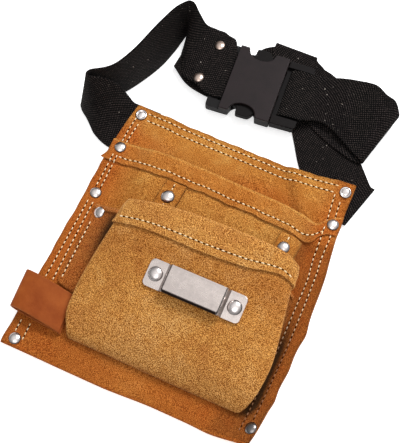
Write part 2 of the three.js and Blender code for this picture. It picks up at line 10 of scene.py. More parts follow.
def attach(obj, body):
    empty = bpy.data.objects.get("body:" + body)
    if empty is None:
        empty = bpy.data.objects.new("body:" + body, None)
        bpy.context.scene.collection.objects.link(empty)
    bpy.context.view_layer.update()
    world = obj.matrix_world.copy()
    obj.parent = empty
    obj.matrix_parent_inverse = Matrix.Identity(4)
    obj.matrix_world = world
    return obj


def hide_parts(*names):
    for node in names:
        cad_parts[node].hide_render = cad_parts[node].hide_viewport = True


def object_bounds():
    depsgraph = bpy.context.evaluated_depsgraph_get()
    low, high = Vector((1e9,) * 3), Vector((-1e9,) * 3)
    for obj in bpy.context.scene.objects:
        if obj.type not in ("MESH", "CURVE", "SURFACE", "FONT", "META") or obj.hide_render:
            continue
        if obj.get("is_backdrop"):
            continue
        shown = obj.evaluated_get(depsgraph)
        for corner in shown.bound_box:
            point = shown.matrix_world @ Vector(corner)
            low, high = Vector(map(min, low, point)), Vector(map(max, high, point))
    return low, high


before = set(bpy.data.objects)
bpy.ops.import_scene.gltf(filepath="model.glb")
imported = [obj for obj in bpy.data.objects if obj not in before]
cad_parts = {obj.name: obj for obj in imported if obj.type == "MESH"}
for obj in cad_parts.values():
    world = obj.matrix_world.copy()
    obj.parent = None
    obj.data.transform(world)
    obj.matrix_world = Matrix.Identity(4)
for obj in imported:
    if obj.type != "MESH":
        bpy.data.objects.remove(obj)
cad_box = [list(map(float, c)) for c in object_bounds()]

# ---------------------------------------------------------------- driving sizes, as in the construction
HIDE, GAP = 2.0, 0.3
PANEL_TOP, PANEL_BOTTOM = 128.5, -126.4
HEM, FRONT_HEM, SEAM = 20.0, 23.0, 17.0
WEB, LOOP_HIDE, STRIP_HALF = 1.8, 2.2, 10.2
RIVET_R, RIVET_H, SHANK_R = 5.2, 2.2, 1.8
CLIP_LEN, CLIP_WIDE, CLIP_T, CLIP_BRIDGE, CLIP_RISE, CLIP_LIP, CLIP_CORNER, CLIP_TILT = 90.0, 25.0, 1.4, 50.0, 6.4, 3.0, 4.0, 0.6
ORIGIN = np.array([-17.319, 58.182, 0.0])
BUCKLE = dict(x=-17.7, y=190.2, z=3.5, turn=5.8, half=34.0, thick=13.0)


# ---------------------------------------------------------------- small helpers
def smooth(t):
    t = np.clip(t, 0.0, 1.0)
    return t * t * (3 - 2 * t)


def mix(a, b, t):
    return a + (b - a) * t


def unit(v):
    return v / np.maximum(np.linalg.norm(v, axis=-1, keepdims=True), 1e-9)


class Table:
    """Smooth interpolation of the columns of a table whose first column rises."""

    def __init__(self, rows):
        self.t = np.array(rows, float)
        n = len(rows)
        lo, hi = np.maximum(np.arange(n) - 1, 0), np.minimum(np.arange(n) + 1, n - 1)
        self.m = (self.t[hi] - self.t[lo]) / (self.t[hi, 0] - self.t[lo, 0])[:, None]

    def __call__(self, q, k=1):
        x = self.t[:, 0]
        q = np.clip(np.asarray(q, float), x[0], x[-1])
        i = np.clip(np.searchsorted(x, q, side="right") - 1, 0, len(x) - 2)
        w = x[i + 1] - x[i]
        t = (q - x[i]) / w
        t2, t3 = t * t, t * t * t
        return ((2 * t3 - 3 * t2 + 1) * self.t[i, k] + (t3 - 2 * t2 + t) * w * self.m[i, k]
                + (-2 * t3 + 3 * t2) * self.t[i + 1, k] + (t3 - t2) * w * self.m[i + 1, k])


def spaced(a, b, n, r=0.8):
    """Places from a to b, closer at both ends, with the share of the thickness that a worn edge keeps there."""
    pos = np.concatenate([[a, a + 0.1 * r, a + 0.42 * r], np.linspace(a + r, b - r, n), [b - 0.42 * r, b - 0.1 * r, b]])
    keep = np.concatenate([[0.42, 0.7, 0.93], np.ones(n), [0.93, 0.7, 0.42]])
    return pos, keep


def grid_normals(P):
    du, dv = np.gradient(P, axis=0), np.gradient(P, axis=1)
    return unit(np.cross(du, dv))


def thick(P, up, down):
    """Closed wall round a grid of middle points: vertices and four-sided faces."""
    ni, nj = P.shape[:2]
    n = grid_normals(P)
    verts = np.concatenate([(P + n * up[..., None]).reshape(-1, 3), (P - n * down[..., None]).reshape(-1, 3)])
    m = ni * nj
    idx = np.arange(m).reshape(ni, nj)
    a, b, c, d = idx[:-1, :-1], idx[1:, :-1], idx[1:, 1:], idx[:-1, 1:]
    top = np.stack([a, b, c, d], -1).reshape(-1, 4)
    bot = np.stack([a + m, d + m, c + m, b + m], -1).reshape(-1, 4)
    rim = lambda p, q: np.stack([p, p + m, q + m, q], -1).reshape(-1, 4)
    faces = np.concatenate([top, bot, rim(idx[:-1, 0], idx[1:, 0]), rim(idx[1:, -1], idx[:-1, -1]),
                            rim(idx[0, 1:], idx[0, :-1]), rim(idx[-1, :-1], idx[-1, 1:])])
    return verts, faces


def put(name, verts, faces, mat, uv=None, tone=None, warm=None, sharp=None):
    """A mesh object from arrays in pouch millimetres."""
    me = bpy.data.meshes.new(name)
    v = (np.asarray(verts, float) - ORIGIN) / 1000.0
    me.from_pydata(v.tolist(), [], faces.tolist() if isinstance(faces, np.ndarray) else faces)
    me.update()
    me.shade_smooth()
    if sharp is not None:
        me.set_sharp_from_angle(angle=math.radians(sharp))
    if uv is not None:
        loops = np.empty(len(me.loops), np.int32)
        me.loops.foreach_get("vertex_index", loops)
        me.uv_layers.new(name="UVMap").data.foreach_set("uv", np.asarray(uv, np.float32)[loops].ravel())
    for key, values in (("tone", tone), ("warm", warm)):
        if values is not None:
            me.attributes.new(key, "FLOAT", "POINT").data.foreach_set("value", np.asarray(values, np.float32).ravel())
    ob = bpy.data.objects.new(name, me)
    bpy.context.scene.collection.objects.link(ob)
    me.materials.append(mat)
    return ob


def joined(parts):
    """One set of arrays from several (vertices, faces)."""
    vs, fs, at = [], [], 0
    for v, f in parts:
        vs.append(v)
        fs.extend((np.asarray(f) + at).tolist() if isinstance(f, np.ndarray) else [[k + at for k in g] for g in f])
        at += len(v)
    return np.concatenate(vs), fs


# ---------------------------------------------------------------- materials
def lin(r, g, b):
    f = lambda c: c / 12.92 if c <= 0.04045 else ((c + 0.055) / 1.055) ** 2.4
    return (f(r / 255), f(g / 255), f(b / 255), 1.0)


class Nodes:
    def __init__(self, name):
        self.mat = bpy.data.materials.new(name)
        self.mat.use_nodes = True
        self.nt = self.mat.node_tree
        self.nt.nodes.clear()
        out = self.nt.nodes.new("ShaderNodeOutputMaterial")
        self.bsdf = self.nt.nodes.new("ShaderNodeBsdfPrincipled")
        self.nt.links.new(self.bsdf.outputs[0], out.inputs[0])

    def put(self, socket, value):
        if isinstance(value, bpy.types.NodeSocket):
            self.nt.links.new(value, socket)
        else:
            socket.default_value = value

    def add(self, kind, inputs=None, out=0, **settings):
        n = self.nt.nodes.new(kind)
        for k, v in settings.items():
            setattr(n, k, v)
        for k, v in (inputs or {}).items():
            self.put(n.inputs[k], v)
        return n.outputs[out]

    def coords(self, which="Object"):
        return self.add("ShaderNodeTexCoord", out=which)

    def noise(self, vec, scale, detail=2.0, rough=0.55, distort=0.0):
        return self.add("ShaderNodeTexNoise", {"Vector": vec, "Scale": scale, "Detail": detail, "Roughness": rough, "Distortion": distort})

    def math(self, op, a, b=0.0, clamp=False):
        return self.add("ShaderNodeMath", {0: a, 1: b}, operation=op, use_clamp=clamp)

    def span(self, v, a, b, c=0.0, d=1.0):
        return self.add("ShaderNodeMapRange", {"Value": v, "From Min": a, "From Max": b, "To Min": c, "To Max": d})

    def blend(self, fac, a, b, how="MIX"):
        return self.add("ShaderNodeMix", {0: fac, 6: a, 7: b}, out=2, data_type="RGBA", blend_type=how, clamp_factor=True)

    def ramp(self, fac, stops):
        n = self.nt.nodes.new("ShaderNodeValToRGB")
        while len(n.color_ramp.elements) < len(stops):
            n.color_ramp.elements.new(0.5)
        for e, (p, c) in zip(n.color_ramp.elements, stops):
            e.position, e.color = p, c
        self.put(n.inputs[0], fac)
        return n.outputs[0]

    def attribute(self, name):
        return self.add("ShaderNodeAttribute", out="Fac", attribute_name=name)

    def scaled(self, vec, xyz):
        return self.add("ShaderNodeVectorMath", {0: vec, 1: xyz}, operation="MULTIPLY")

    def bump(self, height, strength, distance, normal=None):
        ins = {"Strength": strength, "Distance": distance, "Height": height}
        if normal is not None:
            ins["Normal"] = normal
        return self.add("ShaderNodeBump", ins)

    def surface(self, **values):
        for k, v in values.items():
            self.put(self.bsdf.inputs[k.replace("_", " ")], v)
        return self.mat


def suede(name, dark, mid, light, warm, speck, grain):
    """Napped hide: broad brushed patches, mottling, and a coarse salt-and-pepper of lying and standing fibres."""
    n = Nodes(name)
    at = n.coords()
    big, med = n.noise(at, 22.0, 3.0, 0.55, 0.4), n.noise(at, 105.0, 4.0, 0.62)
    fine, clump = n.noise(at, grain, 0.0), n.noise(at, grain * 0.45, 1.0, 0.6)
    f = n.math("ADD", n.math("MULTIPLY", big, 0.55), n.math("MULTIPLY", med, 0.45))
    col = n.ramp(f, [(0.37, lin(*dark)), (0.5, lin(*mid)), (0.63, lin(*light))])
    # rubbed and oiled places are redder
    # places marked warm turn redder and darker: seams, bottom and gussets, and on the hide some bands where this is
    # painted shade
    streak = n.span(med, 0.35, 0.65, 0.75, 1.0)
    col = n.blend(n.math("MULTIPLY", n.attribute("warm"), streak), col, lin(*warm))
    # tone above zero pales the nap, partly a painted highlight on the rim folds; below zero it darkens to deep brown,
    # mostly painted shade in valleys, gussets and along strip edges
    tone = n.attribute("tone")
    col = n.blend(n.math("MULTIPLY", n.math("MAXIMUM", tone, 0.0), 0.8), col, lin(*[min(255, c * 1.04 + 8) for c in light]))
    col = n.blend(n.math("MULTIPLY", n.math("MAXIMUM", n.math("MULTIPLY", tone, -1.0), 0.0), 0.95), col, lin(*[c * 0.34 for c in dark]))
    # fibres that stand up show their dark roots, those that lie down shine
    spots = n.ramp(fine, [(0.41, (0.10, 0.02, 0.0, 1)), (0.5, (0.58, 0.50, 0.40, 1)), (0.59, (1.0, 1.25, 1.9, 1))])
    col = n.blend(speck, col, n.blend(1.0, col, spots, "MULTIPLY"))
    height = n.math("ADD", n.math("MULTIPLY", fine, 0.6), n.math("MULTIPLY", clump, 0.4))
    return n.surface(Base_Color=col, Roughness=n.span(fine, 0.3, 0.7, 0.88, 1.0), Specular_IOR_Level=0.08,
                     Sheen_Weight=0.05, Sheen_Roughness=0.55, Sheen_Tint=(1.0, 0.78, 0.5, 1.0),
                     Normal=n.bump(height, 0.55, 0.0007))


def smooth_leather():
    n = Nodes("smooth_leather")
    at = n.coords()
    big, fine = n.noise(at, 45.0, 4.0, 0.6), n.noise(at, 900.0, 3.0, 0.6)
    pore = n.add("ShaderNodeTexVoronoi", {"Vector": at, "Scale": 850.0})
    col = n.ramp(big, [(0.3, lin(131, 60, 22)), (0.5, lin(146, 73, 30)), (0.72, lin(160, 85, 37))])
    tone = n.attribute("tone")
    col = n.blend(n.math("MAXIMUM", tone, 0.0), col, lin(196, 128, 76))
    col = n.blend(n.math("MAXIMUM", n.math("MULTIPLY", tone, -1.0), 0.0), col, lin(70, 34, 18))
    height = n.math("ADD", n.math("MULTIPLY", pore, 0.5), n.math("MULTIPLY", fine, 0.5))
    return n.surface(Base_Color=col, Roughness=n.span(fine, 0.3, 0.7, 0.55, 0.72), Specular_IOR_Level=0.08, Normal=n.bump(height, 0.3, 0.0003))


def webbing():
    """Plain woven narrow fabric: U runs along the strap and V across it, in millimetres."""
    n = Nodes("webbing")
    uv = n.coords("UV")
    sep = n.nt.nodes.new("ShaderNodeSeparateXYZ")
    n.put(sep.inputs[0], uv)
    u, v = sep.outputs[0], sep.outputs[1]
    wave = lambda x, pitch, shift=0.0: n.math("SINE", n.math("ADD", n.math("MULTIPLY", x, 2 * math.pi / pitch), shift))
    weave = n.math("MULTIPLY", wave(u, 2.8), wave(v, 2.5))
    at = n.coords()
    fuzz = n.noise(at, 900.0, 2.0, 0.7)
    patch = n.noise(at, 60.0, 3.0, 0.6)
    lint = n.noise(at, 430.0, 1.0, 0.5)
    # the floats of the yarn catch the light, the gaps between them stay black
    f = n.math("ADD", n.math("MULTIPLY", weave, 0.42), fuzz)
    col = n.ramp(f, [(0.36, lin(3, 3, 3)), (0.62, lin(8, 7, 7)), (0.94, lin(72, 63, 60))])
    col = n.blend(n.span(patch, 0.5, 0.72, 0.0, 0.4), col, lin(9, 8, 8))
    col = n.blend(n.span(lint, 0.77, 0.8, 0.0, 0.9), col, lin(170, 160, 150))
    height = n.math("ADD", n.math("MULTIPLY", weave, 0.5), n.math("MULTIPLY", fuzz, 0.5))
    return n.surface(Base_Color=col, Roughness=n.span(fuzz, 0.3, 0.7, 0.8, 0.95), Specular_IOR_Level=0.1, Normal=n.bump(height, 0.8, 0.0008))


def plastic(name, top, low, shine):
    """Moulded plastic, with painted shade: darker low down at the sides than on the upper faces."""
    n = Nodes(name)
    at = n.coords()
    fine, big = n.noise(at, 1400.0, 2.0, 0.6), n.noise(at, 70.0, 4.0, 0.65)
    scuff = n.noise(n.scaled(at, (60.0, 900.0, 300.0)), 1.0, 3.0, 0.7)
    col = n.ramp(big, [(0.3, lin(*[c * 0.88 for c in top])), (0.7, lin(*[c * 1.1 for c in top]))])
    col = n.blend(n.span(scuff, 0.64, 0.8, 0.0, 0.35), col, lin(*[c * 2.1 for c in top]))
    sep = n.nt.nodes.new("ShaderNodeSeparateXYZ")
    n.put(sep.inputs[0], at)
    # painted shade: between about 12.5 and 15.5 mm up, the colour goes over to the low colour
    col = n.blend(n.span(sep.outputs[2], 0.0125, 0.0155, 1.0, 0.0), col, lin(*low))
    return n.surface(Base_Color=col, Roughness=n.span(fine, 0.3, 0.7, 0.46, 0.6), Specular_IOR_Level=shine, Normal=n.bump(fine, 0.12, 0.0003))


def steel(name, low, high, rough):
    n = Nodes(name)
    at = n.coords()
    stain, brush = n.noise(at, 160.0, 4.0, 0.65), n.noise(n.scaled(at, (180.0, 2600.0, 2600.0)), 1.0, 2.0, 0.6)
    pit = n.noise(at, 1500.0, 2.0, 0.6)
    col = n.ramp(stain, [(0.3, lin(*low)), (0.62, lin(*high))])
    col = n.blend(n.span(pit, 0.66, 0.78, 0.0, 0.5), col, lin(*[c * 0.6 for c in low]))
    # painted shade: negative tone darkens the steel, for the rivet feet, the clip's bends and lip, and the bottom right
    # rivet
    col = n.blend(n.math("MULTIPLY", n.attribute("tone"), -1.0), col, lin(34, 28, 26))
    return n.surface(Base_Color=col, Metallic=1.0, Roughness=n.span(stain, 0.3, 0.7, rough + 0.1, rough - 0.04),
                     Normal=n.bump(n.math("ADD", n.math("MULTIPLY", brush, 0.5), n.math("MULTIPLY", pit, 0.5)), 0.12, 0.0002))


def thread():
    n = Nodes("thread")
    at = n.coords()
    ply, dirt = n.noise(at, 2600.0, 2.0, 0.6), n.noise(at, 300.0, 2.0, 0.5)
    col = n.ramp(dirt, [(0.3, lin(242, 211, 154)), (0.6, lin(254, 238, 200))])
    # painted shade: negative tone dims the thread towards brown
    col = n.blend(n.math("MULTIPLY", n.attribute("tone"), -1.0), col, lin(128, 68, 26))
    return n.surface(Base_Color=col, Roughness=0.7, Specular_IOR_Level=0.2, Normal=n.bump(ply, 0.5, 0.0003))


def painted_hole_shade():
    # dark specks that stand in for the shade inside the stitch holes
    n = Nodes("painted_stitch_hole_shade")
    f = n.noise(n.coords(), 900.0, 2.0, 0.6)
    return n.surface(Base_Color=n.ramp(f, [(0.3, lin(30, 14, 6)), (0.7, lin(66, 33, 13))]), Roughness=1.0, Specular_IOR_Level=0.0)


MAT = dict(
    suede=suede("suede", (191, 115, 41), (209, 135, 54), (218, 151, 68), (191, 98, 32), 0.74, 1700.0),
    split=suede("split_suede", (201, 126, 52), (218, 145, 62), (228, 161, 80), (182, 94, 33), 0.84, 1650.0),
    # the plug gets a darker copy of the buckle plastic, painted shade on its rails and prong
    smooth=smooth_leather(), web=webbing(), plastic=plastic("buckle_plastic", (31, 23, 24), (14, 11, 12), 0.15), plug=plastic("plug_plastic", (20, 16, 16), (15, 12, 12), 0.08),
    clip=steel("clip_steel", (193, 182, 177), (218, 206, 200), 0.26),
    rivet=steel("rivet_steel", (212, 203, 201), (242, 234, 231), 0.25),
    copper=steel("belt_rivet_steel", (186, 156, 140), (222, 202, 190), 0.3),
    thread=thread(), hole=painted_hole_shade())

# ---------------------------------------------------------------- outline and rest shape of the pouch
left_x = Table([[-131, -117], [-60, -116], [0, -115], [60, -114], [100, -112.5], [129, -108.5]])
right_x = Table([[-131, 115], [-110, 118.5], [-50, 121], [0, 120], [40, 117.2], [68, 113.2], [80, 111.6], [92, 111.4], [106, 109.8], [133, 109]])


def panel_top(x):
    """The upper edge runs up a little towards the right corner."""
    return PANEL_TOP + 3.8 * smooth((x - 38) / 76)


def toe_up(x):
    """How far the bottom fold is drawn up right of its middle."""
    return 2.4 * smooth((x + 20) / 50) * smooth((106 - x) / 50) + 3.4 * smooth((x - 72) / 34)


def ripple(x, y):
    """Small waves of a hide that has been handled, never below the flat."""
    w = (np.sin(x / 19 + 0.6) * np.sin(y / 23 + 1.1) + 0.7 * np.sin(x / 11.3 - y / 17 + 2.0) + 0.5 * np.sin(x / 29 + y / 9.7))
    return 0.16 * (2.2 + w)


def lift(x, y):
    over_left = 2.2 * smooth((-60 - x) / 14) * smooth((y - 46) / 14)
    over_right = 4.5 * smooth((x - (56 - 0.66 * (y - 99))) / 14) * smooth((y - 56) / 14)
    corner = 7 * smooth((x - 62) / 48) * smooth((y - 98) / 36)
    side = 9 * smooth((x - 92) / 30) * smooth((y + 140) / 40) * (1 - smooth((y - 30) / 60))
    toe = 8 * smooth((x - 70) / 52) * smooth((-86 - y) / 44)
    return over_left + over_right + corner + side + toe + ripple(x, y)


rim = Table([[-117, 84, 3.4, HEM], [-100, 84.5, 5, HEM], [-75, 85.5, 13, HEM], [-30, 85.5, 16, HEM], [20, 84.5, 17, HEM], [52, 83, 19, HEM],
             [70, 80, 23, HEM], [82, 78.4, 22, 19], [90, 81.5, 15, 15.5], [97, 88.5, 8, 15], [105, 95, 5, 17.5], [113, 98.5, 3.4, 19]])
slack = Table([[-131, 0], [-100, 0.12], [-60, 0.32], [0, 0.6], [50, 0.9], [90, 1]])


def seam_fade(x, y):
    return smooth((x - left_x(y) - SEAM) / 40) * smooth((right_x(y) - x - SEAM + 4) / 26)


def main_z(x, y):
    return 1.14 * lift(x, y) + HIDE + GAP + HIDE / 2 + np.maximum(0, rim(x, 2) - 3.4) * slack(y) * seam_fade(x, y)


def on_main(x, y):
    return main_z(x, y) + HIDE / 2


def fold_hem(G, N, depth, steps, gap, puff, flare):
    """Points that follow a rim: the fold outwards, then the turned-over layer down to its raw edge."""
    ni = G.shape[0]
    out = np.zeros((ni, 9 + steps + 3, 3))
    up = unit(G[:, -1] - G[:, -3])
    for i in range(ni):
        g, nn = G[i, ::-1], N[i, ::-1]
        s = np.concatenate([[0], np.cumsum(np.linalg.norm(np.diff(g, axis=0), axis=1))])
        r = gap / 2
        a = np.linspace(0, math.pi, 11)[1:-1]
        out[i, :9] = g[0] + nn[0] * r - np.cos(a)[:, None] * nn[0] * r + np.sin(a)[:, None] * up[i] * r * 1.25
        d = np.concatenate([np.linspace(0, depth[i] - 0.8, steps), depth[i] - [0.34, 0.08, 0.0]])
        t = d / depth[i]
        off = gap + puff * np.sin(np.pi * np.clip(t / 0.72, 0, 1)) + flare * smooth((t - 0.74) / 0.26)
        at = np.stack([np.interp(d, s, g[:, k]) for k in range(3)], -1)
        nrm = unit(np.stack([np.interp(d, s, nn[:, k]) for k in range(3)], -1))
        out[i, 9:] = at + nrm * off[:, None]
    return out


# ---------------------------------------------------------------- the hide: back panel, bottom fold, pocket front and rim, cut in one
def build_hide():
    width = 232.0
    s, keep_s = spaced(0, width, 148, 0.9)
    s /= width
    across = s[:, None]

    def xs(y, inset):
        wave = 2.0 * np.exp(-((y + 17) / 10) ** 2) + 0.7 * np.exp(-((y + 52) / 8) ** 2) + 1.5 * np.exp(-((y + 82) / 7) ** 2)
        return mix(left_x(y) + inset, right_x(y) - inset + wave, across)

    # back panel, from its upper edge down
    down = np.concatenate([[0, 0.1, 0.4], np.linspace(0.9, PANEL_TOP - PANEL_BOTTOM + 1.1, 104)])[None, :]
    wob = 0.25 * np.sin(s * 41 + 1) + 0.2 * np.sin(s * 97)
    ends = mix(left_x(129.0), right_x(133.0), s)[:, None]
    ya = PANEL_TOP - down + (panel_top(ends) - PANEL_TOP + wob[:, None]) * smooth(1 - down / 120) + toe_up(ends) * smooth((down - 215) / 40)
    xa = xs(ya, 0.15 + 0.15 * np.sin(ya / 7.0))
    back = np.stack([xa, ya, lift(xa, ya) + HIDE / 2], -1)
    crease = 0.9 * np.exp(-(((xa - 90.5) * 0.55 + (ya - 99) * -0.83) / 2.2) ** 2 - (((xa - 90.5) * 0.83 + (ya - 99) * 0.55) / 6.0) ** 2)
    back[..., 2] += crease
    # bottom fold
    a = np.linspace(-math.pi / 2, math.pi / 2, 13)[None, 1:-1]
    r, y0 = (HIDE + GAP) / 2, PANEL_BOTTOM - 1.1
    yb = toe_up(ends) + y0 - r * np.cos(a) * 1.7
    xb = xs(yb, 0.3)
    zb = lift(xb, np.full_like(xb, y0)) * mix(1, 1.14, (a + math.pi / 2) / math.pi) + r + HIDE / 2 + r * np.sin(a)
    fold = np.stack([xb, yb, zb], -1)
    # pocket front
    t = np.linspace(0, 1, 100)[None, :]
    x = xs(np.zeros_like(across), 0.6) + 0 * t
    for _ in range(4):
        y = mix(y0 + toe_up(ends), rim(x, 1), t)
        x = xs(y, 0.55 + 0.3 * np.sin(y / 9.0) + 0.2 * np.sin(y / 3.7))
    face = np.stack([x, y, main_z(x, y)], -1)
    N = grid_normals(face)
    hem_depth = rim(x[:, -1], 3) + 0.5 * np.sin(s * 37) + 0.3 * np.sin(s * 83)
    hem = fold_hem(face, N, hem_depth, 20, 2.08, 0.55, 0.3)
    # the rim's raw corner stands out a little at the left seam
    deep = np.concatenate([np.zeros(9), np.linspace(0, 1, hem.shape[1] - 9)])
    hem[..., 0] -= 3.0 * smooth((0.05 - across) / 0.05) * smooth((deep[None, :] - 0.55) / 0.45)
    P = np.concatenate([back, fold, face, hem], 1)
    nj = P.shape[1]
    half = np.repeat(keep_s[:, None], nj, 1) * HIDE / 2
    half[:, :3] *= np.array([0.42, 0.7, 0.93])
    half[:, -3:] *= np.array([0.93, 0.7, 0.42])
    verts, faces = thick(P, half, half)
    # paler on the raw hem edge and on the rim fold, whose pale line is partly rubbed nap and partly a painted
    # highlight; darker along the top and side edges; redder in the seams and along the bottom
    tone, warm = np.zeros((len(s), nj)), np.zeros((len(s), nj))
    na, nf = back.shape[1], back.shape[1] + fold.shape[1]
    nface = nf + face.shape[1]
    tone[:, nface - 3:nface + 10] += 0.3
    tone[:, -4:] += 0.2
    tone[:, :4] -= 0.25
    edge = np.exp(-(s * width / 1.2)) + np.exp(-((1 - s) * width / 1.2))
    tone -= 0.35 * edge[:, None]
    seam = np.exp(-((s * width - 8) / 10) ** 2) + np.exp(-(((1 - s) * width - 10) / 13) ** 2)
    warm += 0.55 * seam[:, None]
    # the pocket front is redder along its bottom and on its left, and redder on its right by the strip, where it is
    # partly painted shade
    warm[:, nf:nface] += (0.95 - 0.25 * np.exp(-((x - 5) / 45) ** 2)) * smooth((-40 - y) / 50) + 0.8 * smooth((x - 68) / 14) * smooth((84 - y) / 20) + 0.6 * smooth((-72 - x) / 24)
    warm[:, na:nf] += 0.9
    # lighter across the upper middle of the pocket front and darker towards its bottom; painted shade on its right side
    # by the strip and in the valley along the right seam
    tone[:, nf:nface] += 0.24 * np.exp(-((x - 0) / 60) ** 2) * smooth((y + 20) / 40)
    tone[:, nf:nface] -= 0.14 * smooth((-70 - y) / 40) * (0.75 - 0.5 * np.exp(-((x - 10) / 40) ** 2)) + 0.3 * smooth((x - 74) / 12) * smooth((80 - y) / 24) + 0.9 * np.exp(-((x - 107 + 4 * smooth((-88 - y) / 18)) / 4.8) ** 2) * smooth((4 - y) / 50) * smooth((y + 112) / 18)
    # a redder, darker band on the back panel above the rim, partly the hide's colour and partly painted shade
    warm[:, :na] += 0.85 * np.exp(-((ya - 95) / 11) ** 2) * (0.6 + 0.4 * np.sin(xa / 21)) + 0.25 * smooth((xa - 70) / 30)
    warm[:, nface + 10:] += 0.35 + 0.2 * smooth((-60 - x[:, -1:]) / 30) + 0.2 * smooth((x[:, -1:] - 72) / 16)
    warm = np.clip(warm, 0, 1)
    ob = put("hide", verts, faces, MAT["suede"], tone=np.concatenate([tone.ravel(), tone.ravel()]), warm=np.concatenate([warm.ravel(), warm.ravel()]))
    return ob, dict(face=face, N=N, depth=hem_depth)


# ---------------------------------------------------------------- front pocket with its folded gussets
FRONT = Table([[-107, -63.5, -62, 96, 97, 98, 0, 0, 0], [-105.5, -65.5, -64.5, 98.5, 98.6, 99, 3.5, 3.5, 0.5], [-101, -67.5, -67.5, 102, 99, 100.5, 6.5, 8, 1.5],
               [-88, -68.5, -74, 106, 98, 102.5, 9, 15, 4.5], [-67, -69, -75.5, 108, 96, 103, 12, 18.5, 6.4], [-54, -72, -75, 107.5, 95, 103.5, 14.5, 20.5, 7.3],
               [-25, -71, -72, 102.5, 92, 103, 19, 24, 9], [2, -68, -68, 97.5, 88, 100, 23, 28, 9], [24, -64, -64, 94, 84, 97, 25, 30, 8]])
VALLEY_L, EDGE_L, EDGE_R, VALLEY_R, SEAM_R, Z_L, Z_R, CROWN = range(1, 9)
seam_left = Table([[-107, -65], [-101, -67], [-70, -68], [-66.5, -70], [-62.5, -92], [-58, -97], [-25, -97.6], [24, -98.2]])
front_rim = Table([[0, 18], [2, 18], [4, 22], [7, 27], [11, 29], [15, 28.3], [16, 24.6], [17, 19.6], [18, 15], [20, 10]])


def front_point(u, y):
    """Points of the front pocket's middle surface; u runs across the piece from seam to seam."""
    u, y = np.broadcast_arrays(np.asarray(u, float), np.asarray(y, float))
    c = lambda k: FRONT(y, k)
    rest = lambda x: on_main(x, y) + GAP + HIDE / 2 + 0.3 + 0.9 * smooth((x - 78) / 12)
    z_l, z_r = c(Z_L), c(Z_R)

    def ridge(s):
        x = mix(c(EDGE_L), c(EDGE_R), s)
        z = mix(z_l, z_r, s) + c(CROWN) * (1 - np.abs(2 * s - 1) ** 3.2)
        return np.stack([x, y, np.maximum(rest(x), rest(x) * 0.35 + 0.65 * rest(np.full_like(x, 20.0)) + z)], -1)

    low = lambda x, h: np.stack([x, y, rest(x) + h], -1)
    t = u / 2
    p0 = low(mix(seam_left(y), c(VALLEY_L), np.clip(t, 0, 1)), 0.12 * z_l * smooth(t))
    p1 = mix(low(c(VALLEY_L), 0.12 * z_l), ridge(np.zeros_like(u)), np.clip((u - 2) / 2, 0, 1)[..., None])
    p2 = ridge(np.clip((u - 4) / 12, 0, 1))
    v = u - 16
    p3 = mix(ridge(np.ones_like(u)), low(c(VALLEY_R), 0.15 * z_r), np.clip(v / 2, 0, 1)[..., None])
    t = np.clip((v - 2) / 2, 0, 1)
    p4 = low(mix(c(VALLEY_R), c(SEAM_R), t), 0.15 * z_r * (1 - smooth(t)))
    e = u[..., None]
    return np.where(e <= 2, p0, np.where(e < 4, p1, np.where(e <= 16, p2, np.where(e < 18, p3, p4))))


def soften(P, u, want, sigma):
    """Round off the creases of a row of points: a weighted mean over a few millimetres of its length."""
    s = np.concatenate([[0], np.cumsum(np.linalg.norm(np.diff(P, axis=0), axis=1))])
    ds = 0.5
    q = np.arange(0, s[-1] + ds, ds)
    k = int(3 * sigma / ds)
    w = np.exp(-0.5 * (np.arange(-k, k + 1) * ds / sigma) ** 2)
    w /= w.sum()
    cols = []
    for i in range(3):
        c = np.interp(q, s, P[:, i])
        pad = np.concatenate([2 * c[0] - c[k:0:-1], c, 2 * c[-1] - c[-2:-k - 2:-1]])
        cols.append(np.convolve(pad, w, "valid"))
    uq = np.interp(q, s, u)
    return np.stack([np.interp(want, uq, c) for c in cols], -1)


